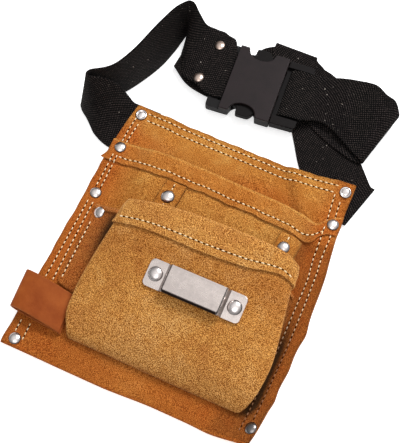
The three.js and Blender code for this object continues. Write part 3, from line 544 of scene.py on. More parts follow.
def build_front():
    dense = np.linspace(0, 20, 520)
    u = np.unique(np.concatenate([[0, 0.02, 0.08, 0.16], np.linspace(0.2, 2, 14), np.linspace(2, 4, 20), np.linspace(4, 5, 12), np.linspace(5, 15, 62),
                                  np.linspace(15, 16, 12), np.linspace(16, 18, 20), np.linspace(18, 19.7, 10), [19.8, 19.9, 20]]))
    t = np.concatenate([np.linspace(0, 0.06, 10)[:-1], np.linspace(0.06, 1, 74)])
    top = front_rim(dense)
    G = np.zeros((len(u), len(t), 3))
    for j, tj in enumerate(t):
        y = mix(-107.0, top, tj)
        row = front_point(dense, y)
        # the gusset's slack leather bulges between its seam and the fold
        bulge = np.sin(np.pi * np.clip(dense / 2.4, 0, 1)) ** 2 * 0.13 * FRONT(y, Z_L)
        row[:, 2] += bulge
        row[:, 2] += 0.35 * np.sin(row[:, 0] / 13 + y / 21) * np.sin(y / 15 + row[:, 0] / 31) * smooth((dense - 4) / 2) * smooth((16 - dense) / 2)
        row[:, 1] += 3.7 * smooth((-66 - y) / 41)
        G[:, j] = soften(row, dense, u, 1.9)
    N = grid_normals(G)
    depth = (FRONT_HEM + 4.6 * smooth(1 - np.abs(u - 10) / 6) - 7.0 * smooth((u - 12.6) / 3.4)) * mix(0.12, 1.0, smooth((u - 2.6) / 1.4) * smooth((17.6 - u) / 1.2))
    hem = fold_hem(G, N, depth, 22, 2.08, 0.5, 0.3)
    P = np.concatenate([G, hem], 1)
    ni, nj = P.shape[:2]
    keep = np.ones(ni)
    keep[:3], keep[-3:] = [0.42, 0.7, 0.93], [0.93, 0.7, 0.42]
    half = np.repeat(keep[:, None], nj, 1) * HIDE / 2
    half[:, -3:] *= np.array([0.93, 0.7, 0.42])
    verts, faces = thick(P, half, half)
    tone, warm = np.zeros((ni, nj)), np.zeros((ni, nj))
    y = G[..., 1]
    face = (smooth((u - 3.6) / 0.8) * smooth((16.6 - u) / 0.8))[:, None]
    # browner below the rim, lighter towards the bottom, pale on the fold lines (partly rubbed nap, partly a painted
    # highlight), and the gussets as red as the hide
    tone[:, :len(t)] -= face * 0.07 * np.exp(-((y - (front_rim(u)[:, None] - 36)) / 13) ** 2)
    tone[:, :len(t)] += face * (0.12 * smooth((-30 - y) / 40) + 0.2 * smooth((-72 - y) / 24))
    warm[:, :len(t)] += face * (0.3 * np.exp(-((y - (front_rim(u)[:, None] - 34)) / 16) ** 2) + 0.1 * smooth((u[:, None] - 11) / 4) * smooth((y + 80) / 60) + 0.16 * smooth((-58 - y) / 30))
    tone[:, len(t) - 3:len(t) + 10] += 0.35
    tone[:, len(t) + 10:] += 0.16
    tone += (0.25 * np.exp(-((u - 4) / 0.12) ** 2) + 0.25 * np.exp(-((u - 16) / 0.12) ** 2))[:, None]
    # shade gathers in the gussets: under the pocket's upper left edge, and all down its right side
    tone[:, :len(t)] -= np.exp(-((u - 1.7) / 0.6) ** 2)[:, None] * (0.2 + 1.1 * smooth((y + 52) / 60)) + 0.65 * smooth((u - 16.3) / 0.7)[:, None] * (0.6 + 0.5 * smooth((10 - y) / 60))
    warm += (0.95 * smooth((3.7 - u) / 0.6) + 0.9 * smooth((u - 16.2) / 0.6))[:, None]
    tone, warm = np.clip(tone, -1, 1), np.clip(warm, 0, 1)
    ob = put("front_pocket_sheet", verts, faces, MAT["split"], tone=np.concatenate([tone.ravel(), tone.ravel()]), warm=np.concatenate([warm.ravel(), warm.ravel()]))
    return ob, dict(G=G, N=N, depth=depth, u=u)


# ---------------------------------------------------------------- straps
def strap(name, rows, thickness, per, across, mat, bead=0.0, tone=None, wave=0.0):
    st = Table([[i] + list(r) for i, r in enumerate(rows)])
    n = len(rows) - 1
    q = np.concatenate([[0, 0.012, 0.04], np.linspace(0.08, n - 0.08, n * per), [n - 0.04, n - 0.012, n]])
    keep_q = np.concatenate([[0.45, 0.72, 0.94], np.ones(n * per), [0.94, 0.72, 0.45]])
    s, keep_s = spaced(-1, 1, across, 0.045)
    s = -s
    x, y, z, turn, lean, half = [st(q, k)[:, None] for k in range(1, 7)]
    turn, lean = np.radians(turn), np.radians(lean)
    h = half * s[None, :]
    P = np.stack([x + h * np.cos(lean) * np.cos(turn), y + h * np.cos(lean) * np.sin(turn), z + h * np.sin(lean)], -1)
    run = np.concatenate([[0], np.cumsum(np.linalg.norm(np.diff(P[:, len(s) // 2], axis=0), axis=1))])
    if wave:
        P[..., 2] += wave * (1 + np.sin(run[:, None] / 8.5 + 2.4 * s[None, :])) * np.sin(run[:, None] / 23.0) ** 2 * (0.3 + 0.7 * s[None, :] ** 2)
    P[..., 2] = np.maximum(thickness / 2 * (1 + bead) + 0.02, P[..., 2])
    swell = 1 + bead * np.exp(-((1 - np.abs(s)) / 0.06) ** 2)
    hh = keep_q[:, None] * keep_s[None, :] * swell[None, :] * thickness / 2
    verts, faces = thick(P, hh, hh)
    uv = np.stack(np.broadcast_arrays(run[:, None], h), -1).reshape(-1, 2)
    tn = np.broadcast_to(tone(run[:, None], s[None, :]), P.shape[:2]).ravel() if tone else None
    ob = put(name, verts, faces, mat, uv=np.concatenate([uv, uv]), tone=None if tn is None else np.concatenate([tn, tn]))
    return ob, float(run[-1])


BELT_LEFT = [
    [-86, 104, 0.95, 90, 0, 26], [-100, 104, 0.95, 90, 0, 26], [-113.5, 104, 1.1, 90, 0.3, 26], [-122, 105.4, 5.6, 88, 10, 26], [-133, 107, 15, 88, 32, 26],
    [-145, 106.5, 24.6, 88, 65, 26], [-152.4, 108.5, 26.6, 66, 76, 26], [-155.4, 112, 27, 46, 80, 26], [-152.8, 116.4, 27, 60, 84, 26],
    [-146, 121.5, 27, 120, 87, 26], [-137.2, 128.5, 26.6, 170, 86, 25.6], [-129.5, 138, 26.2, 192, 83, 25.4], [-122, 153.5, 25.8, 197, 79, 25.2], [-115.5, 172, 25.4, 196, 75, 25.2],
    [-109.5, 196, 25.4, 165, 77, 25], [-105.5, 212, 25.4, 142, 80, 25], [-101.6, 221, 25.4, 125, 84, 25], [-97.5, 218, 24.2, 90, 68, 25],
    [-92.5, 207.6, 18.2, 86, 42, 25.4], [-85.5, 200.4, 13.4, 86, 18, 26.4], [-75, 198.6, 12.8, 87, 5, 29.2], [-66, 198.2, 12.7, 89, 1, 30.8],
    [-57.6, 194.4, 13.7, 93.4, 1, 32.4], [-48.6, 192.6, 14.5, 95.2, 2, 31.4], [-43.6, 188.4, 13.3, 95.8, 1, 26], [-42.3, 187.6, 10.1, 95.8, 0, 25],
    [-43.9, 187.5, 7.2, 95.8, 0, 25], [-49, 187, 6.2, 95.8, 0, 25], [-61, 188.6, 6.7, 94, 0, 26.5], [-77, 195, 5.8, 88, 0, 28.2], [-94.5, 206, 4.8, 86, 0, 26.5]]
BELT_RIGHT = [
    [86, 114, 3.05, 86, 0, 25], [103, 116, 3.05, 84, 0, 25], [112, 118, 3.05, 78, 0, 23.5], [116.4, 118.6, 2.9, 76, 0, 23], [118.2, 119, 2.0, 75.6, 0, 23], [116.4, 119.4, 1.0, 75.6, 0, 23],
    [110.4, 121.2, 0.95, 70, 0, 24], [96, 131, 0.95, 56, 0, 26], [77, 147.7, 0.95, 40, 0, 28], [58, 174.8, 0.95, 33, 0, 27.5], [33, 208.6, 0.95, 23, 0, 26],
    [3.2, 232.2, 0.95, 10.5, 0, 32], [4.6, 243, 1.0, 0.5, 0, 21], [3.2, 245.3, 1.9, 1.2, 0, 20.8], [3, 243, 2.8, 3, 0, 21], [8, 232, 2.85, 14, 0, 23.6],
    [26, 217, 2.85, 42, 0, 26], [45.5, 206, 2.85, 58, 0, 26], [62, 196.5, 2.85, 66, 0, 26], [78, 189.8, 3.0, 66, 0, 26], [92, 186, 3.6, 68, 0, 26.5], [102, 185, 4.6, 73, 2, 27.6],
    [108, 186.2, 5.7, 75.5, 4, 28.4], [110.7, 187, 8.6, 76.5, 6, 28.8], [109.4, 188.6, 11.8, 76.5, 9, 29.6], [102.6, 193.2, 14.4, 76, 13.5, 31.6], [91.5, 197, 16.4, 72, 16.5, 30],
    [78.7, 203, 17, 70, 16, 29.4], [64, 205, 14.2, 76, 11, 26.3], [52, 204.5, 11.2, 82, 6, 25], [43, 200.6, 11.4, 89, 2, 24.5], [34.5, 197.2, 13.3, 93.5, 1, 25],
    [22.5, 195.2, 13.7, 95.8, 0, 25], [13.9, 194.2, 12.3, 95.8, 0, 25], [12.1, 194, 10.1, 95.8, 0, 25], [13.9, 194.2, 7.7, 95.8, 0, 25], [22.5, 195, 6.6, 95.8, 0, 25], [36, 196.5, 6.6, 95.8, 0, 25]]
LOOP = [[-72.5, -86, 7.7, 94, 0, 18], [-90, -84.5, 6.9, 94, 0, 18], [-108, -83, 6.9, 94, 0, 18], [-117, -82.2, 7.3, 94, 0, 18], [-121.4, -81.8, 9.2, 94, 0, 18],
        [-122.2, -81.7, 11.8, 94, 0, 18], [-119.4, -82, 14.8, 94, 0, 18], [-110, -82.8, 16.2, 94, 0, 18], [-95, -84, 14.8, 94, 0, 18], [-83, -85, 12.2, 94, 0, 18], [-73.8, -85.9, 10.8, 94, 0, 18]]


def tool_strip(name, x_top, x_low, y_top, y_low):
    a, keep_a = spaced(-STRIP_HALF, STRIP_HALF, 24, 0.8)
    b, keep_b = spaced(y_low, y_top, 44, 0.8)
    y = np.repeat(b[None, :], len(a), 0)
    x = mix(x_low, x_top, (y - y_low) / (y_top - y_low)) + a[:, None] + 0.25 * np.sin(y / 6) * np.sign(a[:, None])
    # the strip is slack, so it stands off a little along its middle
    z = on_main(x, y) + 4 * GAP + HIDE / 2 + 0.5 * (1 - (a[:, None] / STRIP_HALF) ** 2) * np.sin(np.pi * (y - y_low) / (y_top - y_low))
    h = keep_a[:, None] * keep_b[None, :] * HIDE / 2
    verts, faces = thick(np.stack([x, y, z], -1), h, h)
    # painted shadow lines along both long edges of the strip
    tone = np.repeat((-0.8 * np.exp(-((STRIP_HALF - np.abs(a)) / 0.7)))[:, None], len(b), 1).ravel()
    warm = np.full(2 * tone.size, 0.15)
    return put(name, verts, faces, MAT["suede"], tone=np.concatenate([tone, tone]), warm=warm)


# ---------------------------------------------------------------- hard fittings
def lathe(profile, sides=40):
    """Closed turned body: a profile of (radius, height) from the axis round to the axis."""
    prof = np.array(profile, float)
    a = np.linspace(0, 2 * math.pi, sides, endpoint=False)
    mids = prof[1:-1]
    ring = np.stack([mids[:, None, 0] * np.cos(a), mids[:, None, 0] * np.sin(a), np.repeat(mids[:, 1:2], sides, 1)], -1).reshape(-1, 3)
    verts = np.concatenate([ring, [[0, 0, prof[0, 1]], [0, 0, prof[-1, 1]]]])
    faces, m = [], len(mids)
    for k in range(m - 1):
        for i in range(sides):
            j = (i + 1) % sides
            faces.append([k * sides + i, (k + 1) * sides + i, (k + 1) * sides + j, k * sides + j])
    for i in range(sides):
        j = (i + 1) % sides
        faces.append([m * sides, i, j])
        faces.append([m * sides + 1, (m - 1) * sides + j, (m - 1) * sides + i])
    return verts, faces


DOME = [[0, 2.25], [1.2, 2.2], [2.4, 2.02], [3.4, 1.68], [4.2, 1.22], [4.75, 0.8], [5.05, 0.5], [5.2, 0.28], [5.15, 0.06], [4.9, -0.06], [1.8, -0.06], [1.8, -3.2], [0, -3.2]]
RINGED = [[0, 1.25], [2.2, 1.2], [2.9, 1.05], [3.15, 0.85], [3.45, 0.95], [3.8, 1.35], [4.3, 1.5], [4.8, 1.25], [5.15, 0.75], [5.3, 0.3], [5.2, 0.04], [4.9, -0.06], [1.8, -0.06], [1.8, -3.2], [0, -3.2]]


def place(verts, M):
    return np.asarray(verts) @ M[:3, :3].T + M[:3, 3]


def tree_of(ob):
    me = ob.data
    return BVHTree.FromPolygons([v.co for v in me.vertices], [p.vertices for p in me.polygons])


def drop(tree, x, y, from_z=120.0):
    """Top of a piece above a place, in pouch millimetres, with its normal there."""
    o = (np.array([x, y, from_z]) - ORIGIN) / 1000
    hit, nrm, _, _ = tree.ray_cast(Vector(o), Vector((0, 0, -1)))
    if hit is None:
        return None, None
    n = np.array(nrm)
    return np.array(hit) * 1000 + ORIGIN, n if n[2] > 0 else -n


def seat(tree, x, y, r=4.2):
    p0, _ = drop(tree, x, y)
    pts = [p0]
    for k in range(12):
        p, _ = drop(tree, x + r * math.cos(k * math.pi / 6), y + r * math.sin(k * math.pi / 6))
        if p is not None and abs(p[2] - p0[2]) < 3.5:
            pts.append(p)
    pts = np.array(pts)
    A = np.c_[pts[:, :2] - [x, y], np.ones(len(pts))]
    gx, gy, z = np.linalg.lstsq(A, pts[:, 2], rcond=None)[0]
    zz = unit(np.array([-gx, -gy, 1.0]))
    xx = unit(np.array([1.0, 0, 0]) - zz * zz[0])
    M = np.eye(4)
    M[:3, 0], M[:3, 1], M[:3, 2], M[:3, 3] = xx, np.cross(zz, xx), zz, [x, y, z + 0.12]
    return M


def rivet(node, M, profile, mat, size=1.0, painted_shade=0.0):
    v, f = lathe([[r * size, h * (size if h > 0 else 1.0)] for r, h in profile])
    foot = np.hypot(v[:, 0], v[:, 1]) / (5.2 * size)
    # painted shade: a dark ring round the foot of each cap; the last argument darkens the whole cap
    ob = put(node + "_cap", place(v, M), f, mat, tone=-np.maximum(0.85 * smooth((foot - 0.86) / 0.1), painted_shade), sharp=50)
    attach(ob, "root")
    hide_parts(node)
    return ob


def slab(outline, w0, w1, bevel):
    """Flat plate with rounded edges from an outline that runs anticlockwise."""
    p = np.array(outline, float)
    t1, t0 = unit(np.roll(p, -1, 0) - p), unit(p - np.roll(p, 1, 0))
    nrm = lambda t: np.stack([-t[:, 1], t[:, 0]], -1)
    n = unit(nrm(t0) + nrm(t1))
    n = n / np.maximum(0.5, (n * nrm(t1)).sum(-1, keepdims=True))
    rings = [(w0, bevel), (w0 + 0.13 * bevel, 0.5 * bevel), (w0 + 0.5 * bevel, 0.13 * bevel), (w0 + bevel, 0.0), (w1 - bevel, 0.0), (w1 - 0.5 * bevel, 0.13 * bevel), (w1 - 0.13 * bevel, 0.5 * bevel), (w1, bevel)]
    verts = np.concatenate([np.c_[p + n * d, np.full(len(p), w)] for w, d in rings])
    k = len(p)
    top = k * (len(rings) - 1)
    if k % 2 == 0 and np.allclose(p, p[::-1] * [1, -1], atol=1e-6):
        # one half mirrors the other, so the flat faces go across in strips
        faces = [[i + 1, i, k - 1 - i, k - 2 - i] for i in range(k // 2 - 1)]
        faces += [[top + i, top + i + 1, top + k - 2 - i, top + k - 1 - i] for i in range(k // 2 - 1)]
    else:
        faces = [list(range(k))[::-1], [top + i for i in range(k)]]
    for r in range(len(rings) - 1):
        for i in range(k):
            j = (i + 1) % k
            faces.append([r * k + i, r * k + j, (r + 1) * k + j, (r + 1) * k + i])
    return verts, faces


def block(u0, u1, v0, v1, w0, w1):
    v = np.array([[u, q, w] for w in (w0, w1) for u, q in ((u0, v0), (u1, v0), (u1, v1), (u0, v1))], float)
    return v, [[3, 2, 1, 0], [4, 5, 6, 7], [0, 1, 5, 4], [1, 2, 6, 5], [2, 3, 7, 6], [3, 0, 4, 7]]


def rounded(points, r, steps=5):
    """An outline with its corners rounded; r is one radius or one for each corner."""
    p = np.array(points, float)
    rr = np.broadcast_to(np.asarray(r, float), (len(p),))
    out = []
    for i in range(len(p)):
        a, b, c = p[i - 1], p[i], p[(i + 1) % len(p)]
        if rr[i] <= 0:
            out.append(b)
            continue
        ta, tc = unit(a - b), unit(c - b)
        d = min(rr[i], 0.45 * np.linalg.norm(a - b), 0.45 * np.linalg.norm(c - b))
        for t in np.linspace(0, 1, steps):
            out.append((1 - t) ** 2 * (b + ta * d) + 2 * t * (1 - t) * b + t * t * (b + tc * d))
    return np.array(out)


def carve(name, base, cuts, adds, M, mat, bevel=0.35):
    """Plates joined, pockets cut out of them, and the new edges eased."""
    ob = put(name, place(base[0], M), base[1], mat)
    tools = []
    for kind, group in (("UNION", adds), ("DIFFERENCE", cuts)):
        for g in group:
            t = put(name + "_tool", place(g[0], M), g[1], mat)
            tools.append(t)
            m = ob.modifiers.new("cut", "BOOLEAN")
            m.operation, m.object, m.solver = kind, t, "MANIFOLD"
    b = ob.modifiers.new("ease", "BEVEL")
    b.width, b.segments, b.limit_method, b.angle_limit, b.harden_normals = bevel / 1000, 2, "ANGLE", math.radians(50), False
    w = ob.modifiers.new("flat", "WEIGHTED_NORMAL")
    w.keep_sharp = True
    dg = bpy.context.evaluated_depsgraph_get()
    me = bpy.data.meshes.new_from_object(ob.evaluated_get(dg))
    ob.modifiers.clear()
    old = ob.data
    ob.data = me
    me.name = name
    bpy.data.meshes.remove(old)
    for t in tools:
        d = t.data
        bpy.data.objects.remove(t)
        bpy.data.meshes.remove(d)
    if not me.materials:
        me.materials.append(mat)
    me.shade_smooth()
    me.set_sharp_from_angle(angle=math.radians(40))
    return ob


def buckle_matrix():
    a = math.radians(BUCKLE["turn"])
    M = np.eye(4)
    M[:3, 0], M[:3, 1] = [math.cos(a), math.sin(a), 0], [-math.sin(a), math.cos(a), 0]
    M[:3, 3] = BUCKLE["x"], BUCKLE["y"], BUCKLE["z"]
    return M


def build_buckle():
    H, T, M = BUCKLE["half"], BUCKLE["thick"], buckle_matrix()
    arch, B = [], H + 1.1
    for k in range(15):                       # the arched window that the prong's button looks out of
        q = math.pi * k / 14
        arch.append([-1.8 - 12.6 * math.cos(q), -B + 10.7 * math.sin(q) ** 0.8])
    low = [[-37, -B], [-16.8, -B], [-15.0, -B + 0.2]] + arch[1:-1] + [[11.4, -B + 0.2], [13.2, -B], [25, -B]]
    outline = rounded(low + [[u, -v] for u, v in low[::-1]], [3.0, 1.2, 0.6] + [0] * 13 + [0.6, 1.2, 1.6] + [1.6, 1.2, 0.6] + [0] * 13 + [0.6, 1.2, 3.0], 4)
    body = slab(outline, 0.6, T, 0.9)
    body[0][:, 1] -= 1.1
    cuts = [block(-23, 30, -H + 3.2, H - 3.2, 3.0, T - 2.2), block(-28, -23.4, -27, 27, -2, T + 2), block(-42, -23.4, -40, 40, 8.6, T + 2), block(-42, -22.6, -27, 27, -2, 4.6)]
    female = carve("buckle_socket", body, cuts, [], M, MAT["plastic"])
    base = slab(rounded([[25.4, -H - 1.6], [50, -H - 0.6], [50, H - 1.5], [25.4, H - 0.5]], [0.8, 3, 3, 0.8]), 2.2, T - 2.0, 0.7)
    prong = rounded([[-13, -H + 5.6], [-8.2, -H + 5.0], [-7.6, -H - 2.4], [5.2, -H - 2.4], [9.2, -H + 4.2], [26, -H + 5.0], [26, -H + 11], [2, -H + 11], [-10, -H + 10]], [1.5, 1, 2, 3, 2, 0, 0, 2, 2], 4)
    other = np.array([[u, -v] for u, v in prong[::-1]])
    male_cuts = [block(29.0, 33, -26.4, 26.4, -1, T + 1), block(20, 60, -26.4, 26.4, 7.2, T + 1), block(20, 60, -26.4, 26.4, -1, 5.2)]
    ribs = [block(u, u + 1.6, s - 0.3 if s < 0 else s - 0.9, s + 0.9 if s < 0 else s + 0.3, 3.4, T - 3.0) for u in (29, 33, 37, 41, 45) for s in (-H - 1.1, H - 1.0)]
    male = carve("buckle_plug", base, male_cuts, [slab(prong, 4.0, T - 3.2, 0.5), slab(other, 4.0, T - 3.2, 0.5), block(-14, 26, -4, 4, 4.2, T - 3.4)] + ribs, M, MAT["plug"])
    return female, male


def build_clip(M):
    a, b, c, w, t, r = CLIP_LEN / 2, CLIP_BRIDGE / 2, CLIP_BRIDGE / 2 + 4, CLIP_WIDE / 2, CLIP_T, CLIP_RISE
    half = np.unique(np.concatenate([np.linspace(0, b - 2, 14), np.linspace(b - 2, c + 2, 26), np.linspace(c + 2, a - CLIP_CORNER, 8), a - CLIP_CORNER * (1 - np.sin(np.linspace(0, math.pi / 2, 14)))]))
    x = np.concatenate([-half[::-1], half[1:]])
    ax = np.abs(x)[:, None]
    rise = r * smooth((c - 0.3 - ax) / (c - b - 0.6))
    k = np.clip(ax - (a - CLIP_CORNER), 0, CLIP_CORNER)
    reach = w - (CLIP_CORNER - np.sqrt(np.maximum(CLIP_CORNER ** 2 - k ** 2, 0)))
    lip_on = smooth((b + 0.9 - ax) / 1.4)
    q = np.concatenate([np.linspace(0, 1, 9)[:-1], np.linspace(1, 2, 9)[:-1], np.linspace(2, 3, 26)])[None, :]
    # 0..1 lip, 1..2 bend, 2..3 flat, from the lower edge up
    rb = 1.3
    lip_y = np.where(q < 1, -w + t / 2, np.where(q < 2, -w + t / 2 + rb - rb * np.cos((q - 1) * math.pi / 2), mix(-w + t / 2 + rb, w, q - 2)))
    lip_z = np.where(q < 1, mix(-CLIP_LIP - t / 2 + 0.0, -rb, q), np.where(q < 2, -rb + rb * np.sin((q - 1) * math.pi / 2), 0.0))
    flat_y = mix(-w, w, np.concatenate([np.linspace(0, 0.06, 9)[:-1], np.linspace(0.06, 0.12, 9)[:-1], np.linspace(0.12, 1, 26)]))[None, :]
    y = mix(flat_y * reach / w, lip_y, lip_on)
    z = t / 2 + rise + lip_on * lip_z
    P = np.stack([np.broadcast_to(x[:, None], y.shape), y, z + 0 * y], -1)
    up = np.full(y.shape, t / 2)
    up[:, [0, -1]] *= 0.55
    up[:, [1, -2]] *= 0.9
    up[[0, -1]] *= 0.55
    verts, faces = thick(P, up, up)
    # painted shade: dark lines along the bends, a dark lip, and the bridge a little darker towards its lower edge
    line = lambda at, wide: np.exp(-((ax - at) / wide) ** 2)
    tone = -np.clip(0.85 * line(b + 0.5, 0.34) + 0.75 * line(c - 0.4, 0.34) + 0.9 * lip_on * (q < 2.03) + 0.05 * lip_on + 0.1 * lip_on * smooth((2.7 - q) / 0.6), 0, 1) * np.ones_like(y)
    ob = put("tape_clip_plate", place(verts, M), faces, MAT["clip"], tone=np.concatenate([tone.ravel(), tone.ravel()]), sharp=60)
    return ob


# ---------------------------------------------------------------- stitching
class Stitching:
    def __init__(self):
        self.threads, self.holes, self.painted_shade = [], [], []

    def row(self, line, tree, pitch=5.0, length=2.75, lead=0.0, skip=(), painted_shade=None):
        """Stitches along a line of (x, y) places on a piece, with dark specks between them for the painted shade of the
        stitch holes.
        """
        p = np.array(line, float)
        s = np.concatenate([[0], np.cumsum(np.linalg.norm(np.diff(p, axis=0), axis=1))])
        total = s[-1] - 2 * lead
        count = max(1, int(round(total / pitch)))
        step = total / count
        size = length * step / pitch
        at = lambda d: np.array([np.interp(d, s, p[:, 0]), np.interp(d, s, p[:, 1])])
        for k in range(count):
            mid = lead + (k + 0.5) * step
            c = at(mid)
            if any((c[0] - x) ** 2 + (c[1] - y) ** 2 < r * r for x, y, r in skip):
                continue
            self.stitch([at(mid + size * f) for f in np.linspace(-0.5, 0.5, 7)], tree, painted_shade(*c) if painted_shade else 0.0)
            h = at(mid + 0.5 * step)
            if k < count - 1 and not any((h[0] - x) ** 2 + (h[1] - y) ** 2 < r * r for x, y, r in skip):
                self.hole(h, at(mid + 0.5 * step + 0.3) - at(mid + 0.5 * step - 0.3), tree, 0.5 * (step - size) + 0.42)

    def stitch(self, pts, tree, painted_shade=0.0):
        hits = [drop(tree, *q) for q in pts]
        if any(h[0] is None for h in hits):
            return
        P, n = np.array([h[0] for h in hits]), unit(np.mean([h[1] for h in hits], 0))
        P = P + n * np.array([-0.55, 0.12, 0.36, 0.42, 0.36, 0.12, -0.55])[:, None]
        t = unit(np.gradient(P, axis=0))
        side = unit(np.cross(t, n))
        up = np.cross(side, t)
        rad = np.array([0.3, 0.47, 0.52, 0.54, 0.52, 0.47, 0.3])[:, None]
        sides = 7
        a = np.linspace(0, 2 * math.pi, sides, endpoint=False)
        ring = P[:, None] + rad[..., None] * (np.cos(a)[None, :, None] * side[:, None] + 0.85 * np.sin(a)[None, :, None] * up[:, None])
        m = len(P)
        faces = [[k * sides + i, k * sides + (i + 1) % sides, (k + 1) * sides + (i + 1) % sides, (k + 1) * sides + i] for k in range(m - 1) for i in range(sides)]
        faces += [list(range(sides))[::-1], [(m - 1) * sides + i for i in range(sides)]]
        self.threads.append((ring.reshape(-1, 3), faces))
        self.painted_shade.append(np.full(m * sides, -painted_shade))

    def hole(self, c, along, tree, size):
        # a dark speck for the painted shade inside a stitch hole
        p, n = drop(tree, *c)
        if p is None:
            return
        d = np.array([along[0], along[1], 0.0])
        t = unit(d - n * d.dot(n))
        b = np.cross(n, t)
        sides, rows = 8, 4
        verts = [p + n * 0.14]
        for k in range(1, rows):
            q = math.pi * k / rows
            for i in range(sides):
                a = 2 * math.pi * i / sides
                verts.append(p + t * size * math.sin(q) * math.cos(a) + b * 0.66 * math.sin(q) * math.sin(a) + n * (0.14 * math.cos(q) if q < 1.6 else 0.5 * math.cos(q)))
        verts.append(p - n * 0.5)
        faces = [[0, 1 + i, 1 + (i + 1) % sides] for i in range(sides)]
        for k in range(rows - 2):
            o = 1 + k * sides
            faces += [[o + i, o + sides + i, o + sides + (i + 1) % sides, o + (i + 1) % sides] for i in range(sides)]
        o = 1 + (rows - 2) * sides
        faces += [[o + i, len(verts) - 1, o + (i + 1) % sides] for i in range(sides)]
        self.holes.append((np.array(verts), faces))

    def finish(self, name):
        out = [put(name + "_thread", *joined(self.threads), MAT["thread"], tone=np.concatenate(self.painted_shade))]
        if self.holes:
            out.append(put(name + "_holes", *joined(self.holes), MAT["hole"]))
        for o in out:
            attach(o, "root")
        return out


# ---------------------------------------------------------------- assembly
hide, hide_at = build_hide()
front, front_at = build_front()
strips = [tool_strip("tool_strip_left_sheet", -38.2, -43.6, 64, 4), tool_strip("tool_strip_right_sheet", 76, 73, 58, 6)]
loop_tone = lambda run, s: 0.55 * np.exp(-(1 - np.abs(s)) / 0.03) - 0.25 * np.exp(-((1 - np.abs(s)) / 0.12) ** 2) + 0 * run
loop, loop_len = strap("hammer_loop_strap", LOOP, LOOP_HIDE, 10, 30, MAT["smooth"], tone=loop_tone)
belt_l, belt_l_len = strap("belt_left_webbing", BELT_LEFT, WEB, 12, 30, MAT["web"], bead=0.18)
belt_r, belt_r_len = strap("belt_right_webbing", BELT_RIGHT, WEB, 12, 30, MAT["web"], bead=0.18)
female, male = build_buckle()

trees = dict(hide=tree_of(hide), front=tree_of(front), left=tree_of(strips[0]), right=tree_of(strips[1]), belt=tree_of(belt_l))

# clip, in the frame it has in the construction
fp = lambda u, y: front_point(np.array([u]), np.array([float(y)]))[0]
clip_l, clip_r = fp(4 + 12 * 0.26, -30), fp(4 + 12 * 0.8, -30)
clip_x = unit(clip_r - clip_l)
clip_z = unit(np.cross(clip_x, unit(fp(10, -18) - fp(10, -42))))
CM = np.eye(4)
CM[:3, 0], CM[:3, 1], CM[:3, 2] = clip_x, np.cross(clip_z, clip_x), clip_z
CM[:3, 3] = fp(10.55, -30) + clip_z * (HIDE / 2 + CLIP_TILT)
clip = build_clip(CM)

RIVETS = [("rivet_top_left", -101.5, 119.5, "hide", RINGED), ("rivet_rim_left", -103.2, 79.2, "hide", DOME), ("rivet_side_left", -104.5, 30.5, "hide", DOME),
          ("rivet_bottom_left", -106, -122.8, "hide", DOME), ("rivet_top_right", 102.2, 122.6, "hide", RINGED), ("rivet_rim_right", 104, 88.2, "hide", DOME),
          ("rivet_bottom_right", 112.4, -112, "hide", DOME), ("rivet_gusset_left", -91.6, 12.4, "front", DOME), ("rivet_strip_left", -40.2, 48.6, "left", DOME),
          ("rivet_strip_right", 74, 44.6, "right", DOME)]
# the bottom right rivet's cap is darkened with painted shade
for node, x, y, on, prof in RIVETS:
    rivet(node, seat(trees[on], x, y), prof, MAT["rivet"], 1.18 if node == "rivet_strip_left" else 1.04, 0.72 if node == "rivet_bottom_right" else 0.0)
for node, x, y in (("belt_rivet_upper", -63.6, 213.2), ("belt_rivet_lower", -67.8, 174)):
    rivet(node, seat(trees["belt"], x, y), DOME, MAT["copper"])
for node, side in (("clip_rivet_left", -1), ("clip_rivet_right", 1)):
    L = np.eye(4)
    L[:3, 3] = [side * (CLIP_LEN / 2 - 8), 0, CLIP_T + 0.05]
    rivet(node, CM @ L, DOME, MAT["rivet"], 1.25)

# stitch rows
st = Stitching()
around = [(x, y, 6.6) for _, x, y, on, _ in RIVETS if on == "hide"]
ys = lambda a, b: np.linspace(a, b, 80)
off1, off2 = Table([[-124, 7.9], [-60, 7.7], [38, 7.2], [80, 7.6], [118, 6.0]]), Table([[-124, 17.4], [-62, 14.9], [44, 11.6], [80, 11.6], [118, 11.6]])
for off in (off1, off2):
    y = ys(116, 62)
    st.row(np.c_[left_x(y) + off(y), y], trees["hide"], skip=around)
    y = ys(62, -62)
    st.row(np.c_[left_x(y) + off(y), y], trees["hide"], skip=around)
    y = ys(-104, -122)
    st.row(np.c_[left_x(y) + off(y), y], trees["hide"], skip=around)
offa = Table([[-122, 7.0], [-60, 8.6], [0, 9.0], [37, 8.4], [55, 8.2], [65, 7.0], [76, 5.6], [96, 7.6], [103, 7.9], [120, 8.4]])
offb = Table([[-122, 13.5], [-60, 15.4], [0, 15.6], [32, 14.4], [52, 15.2], [66, 14.0], [80, 13.4], [94, 14.1], [104, 14.3], [120, 15.4]])
# the right seam's threads are dimmed lower down with painted shade
for off in (offa, offb):
    y = ys(119, -118)
    st.row(np.c_[right_x(y) - off(y), y], trees["hide"], skip=around, painted_shade=lambda x, y: float(0.25 * smooth((60 - y) / 40) + 0.65 * smooth((10 - y) / 55)))
for dy, x0, x1 in ((5.3, -97, 95), (12.2, -95, 93)):
    x = np.linspace(x0, x1, 120)
    st.row(np.c_[x, panel_top(x) - dy], trees["hide"], skip=around)


def along_rim(G, dist, i0, i1):
    pts = []
    for i in range(i0, i1):
        g = G[i, ::-1]
        s = np.concatenate([[0], np.cumsum(np.linalg.norm(np.diff(g, axis=0), axis=1))])
        d = dist[i] if hasattr(dist, "__len__") else dist
        pts.append([np.interp(d, s, g[:, k]) for k in range(2)])
    return np.array(pts)


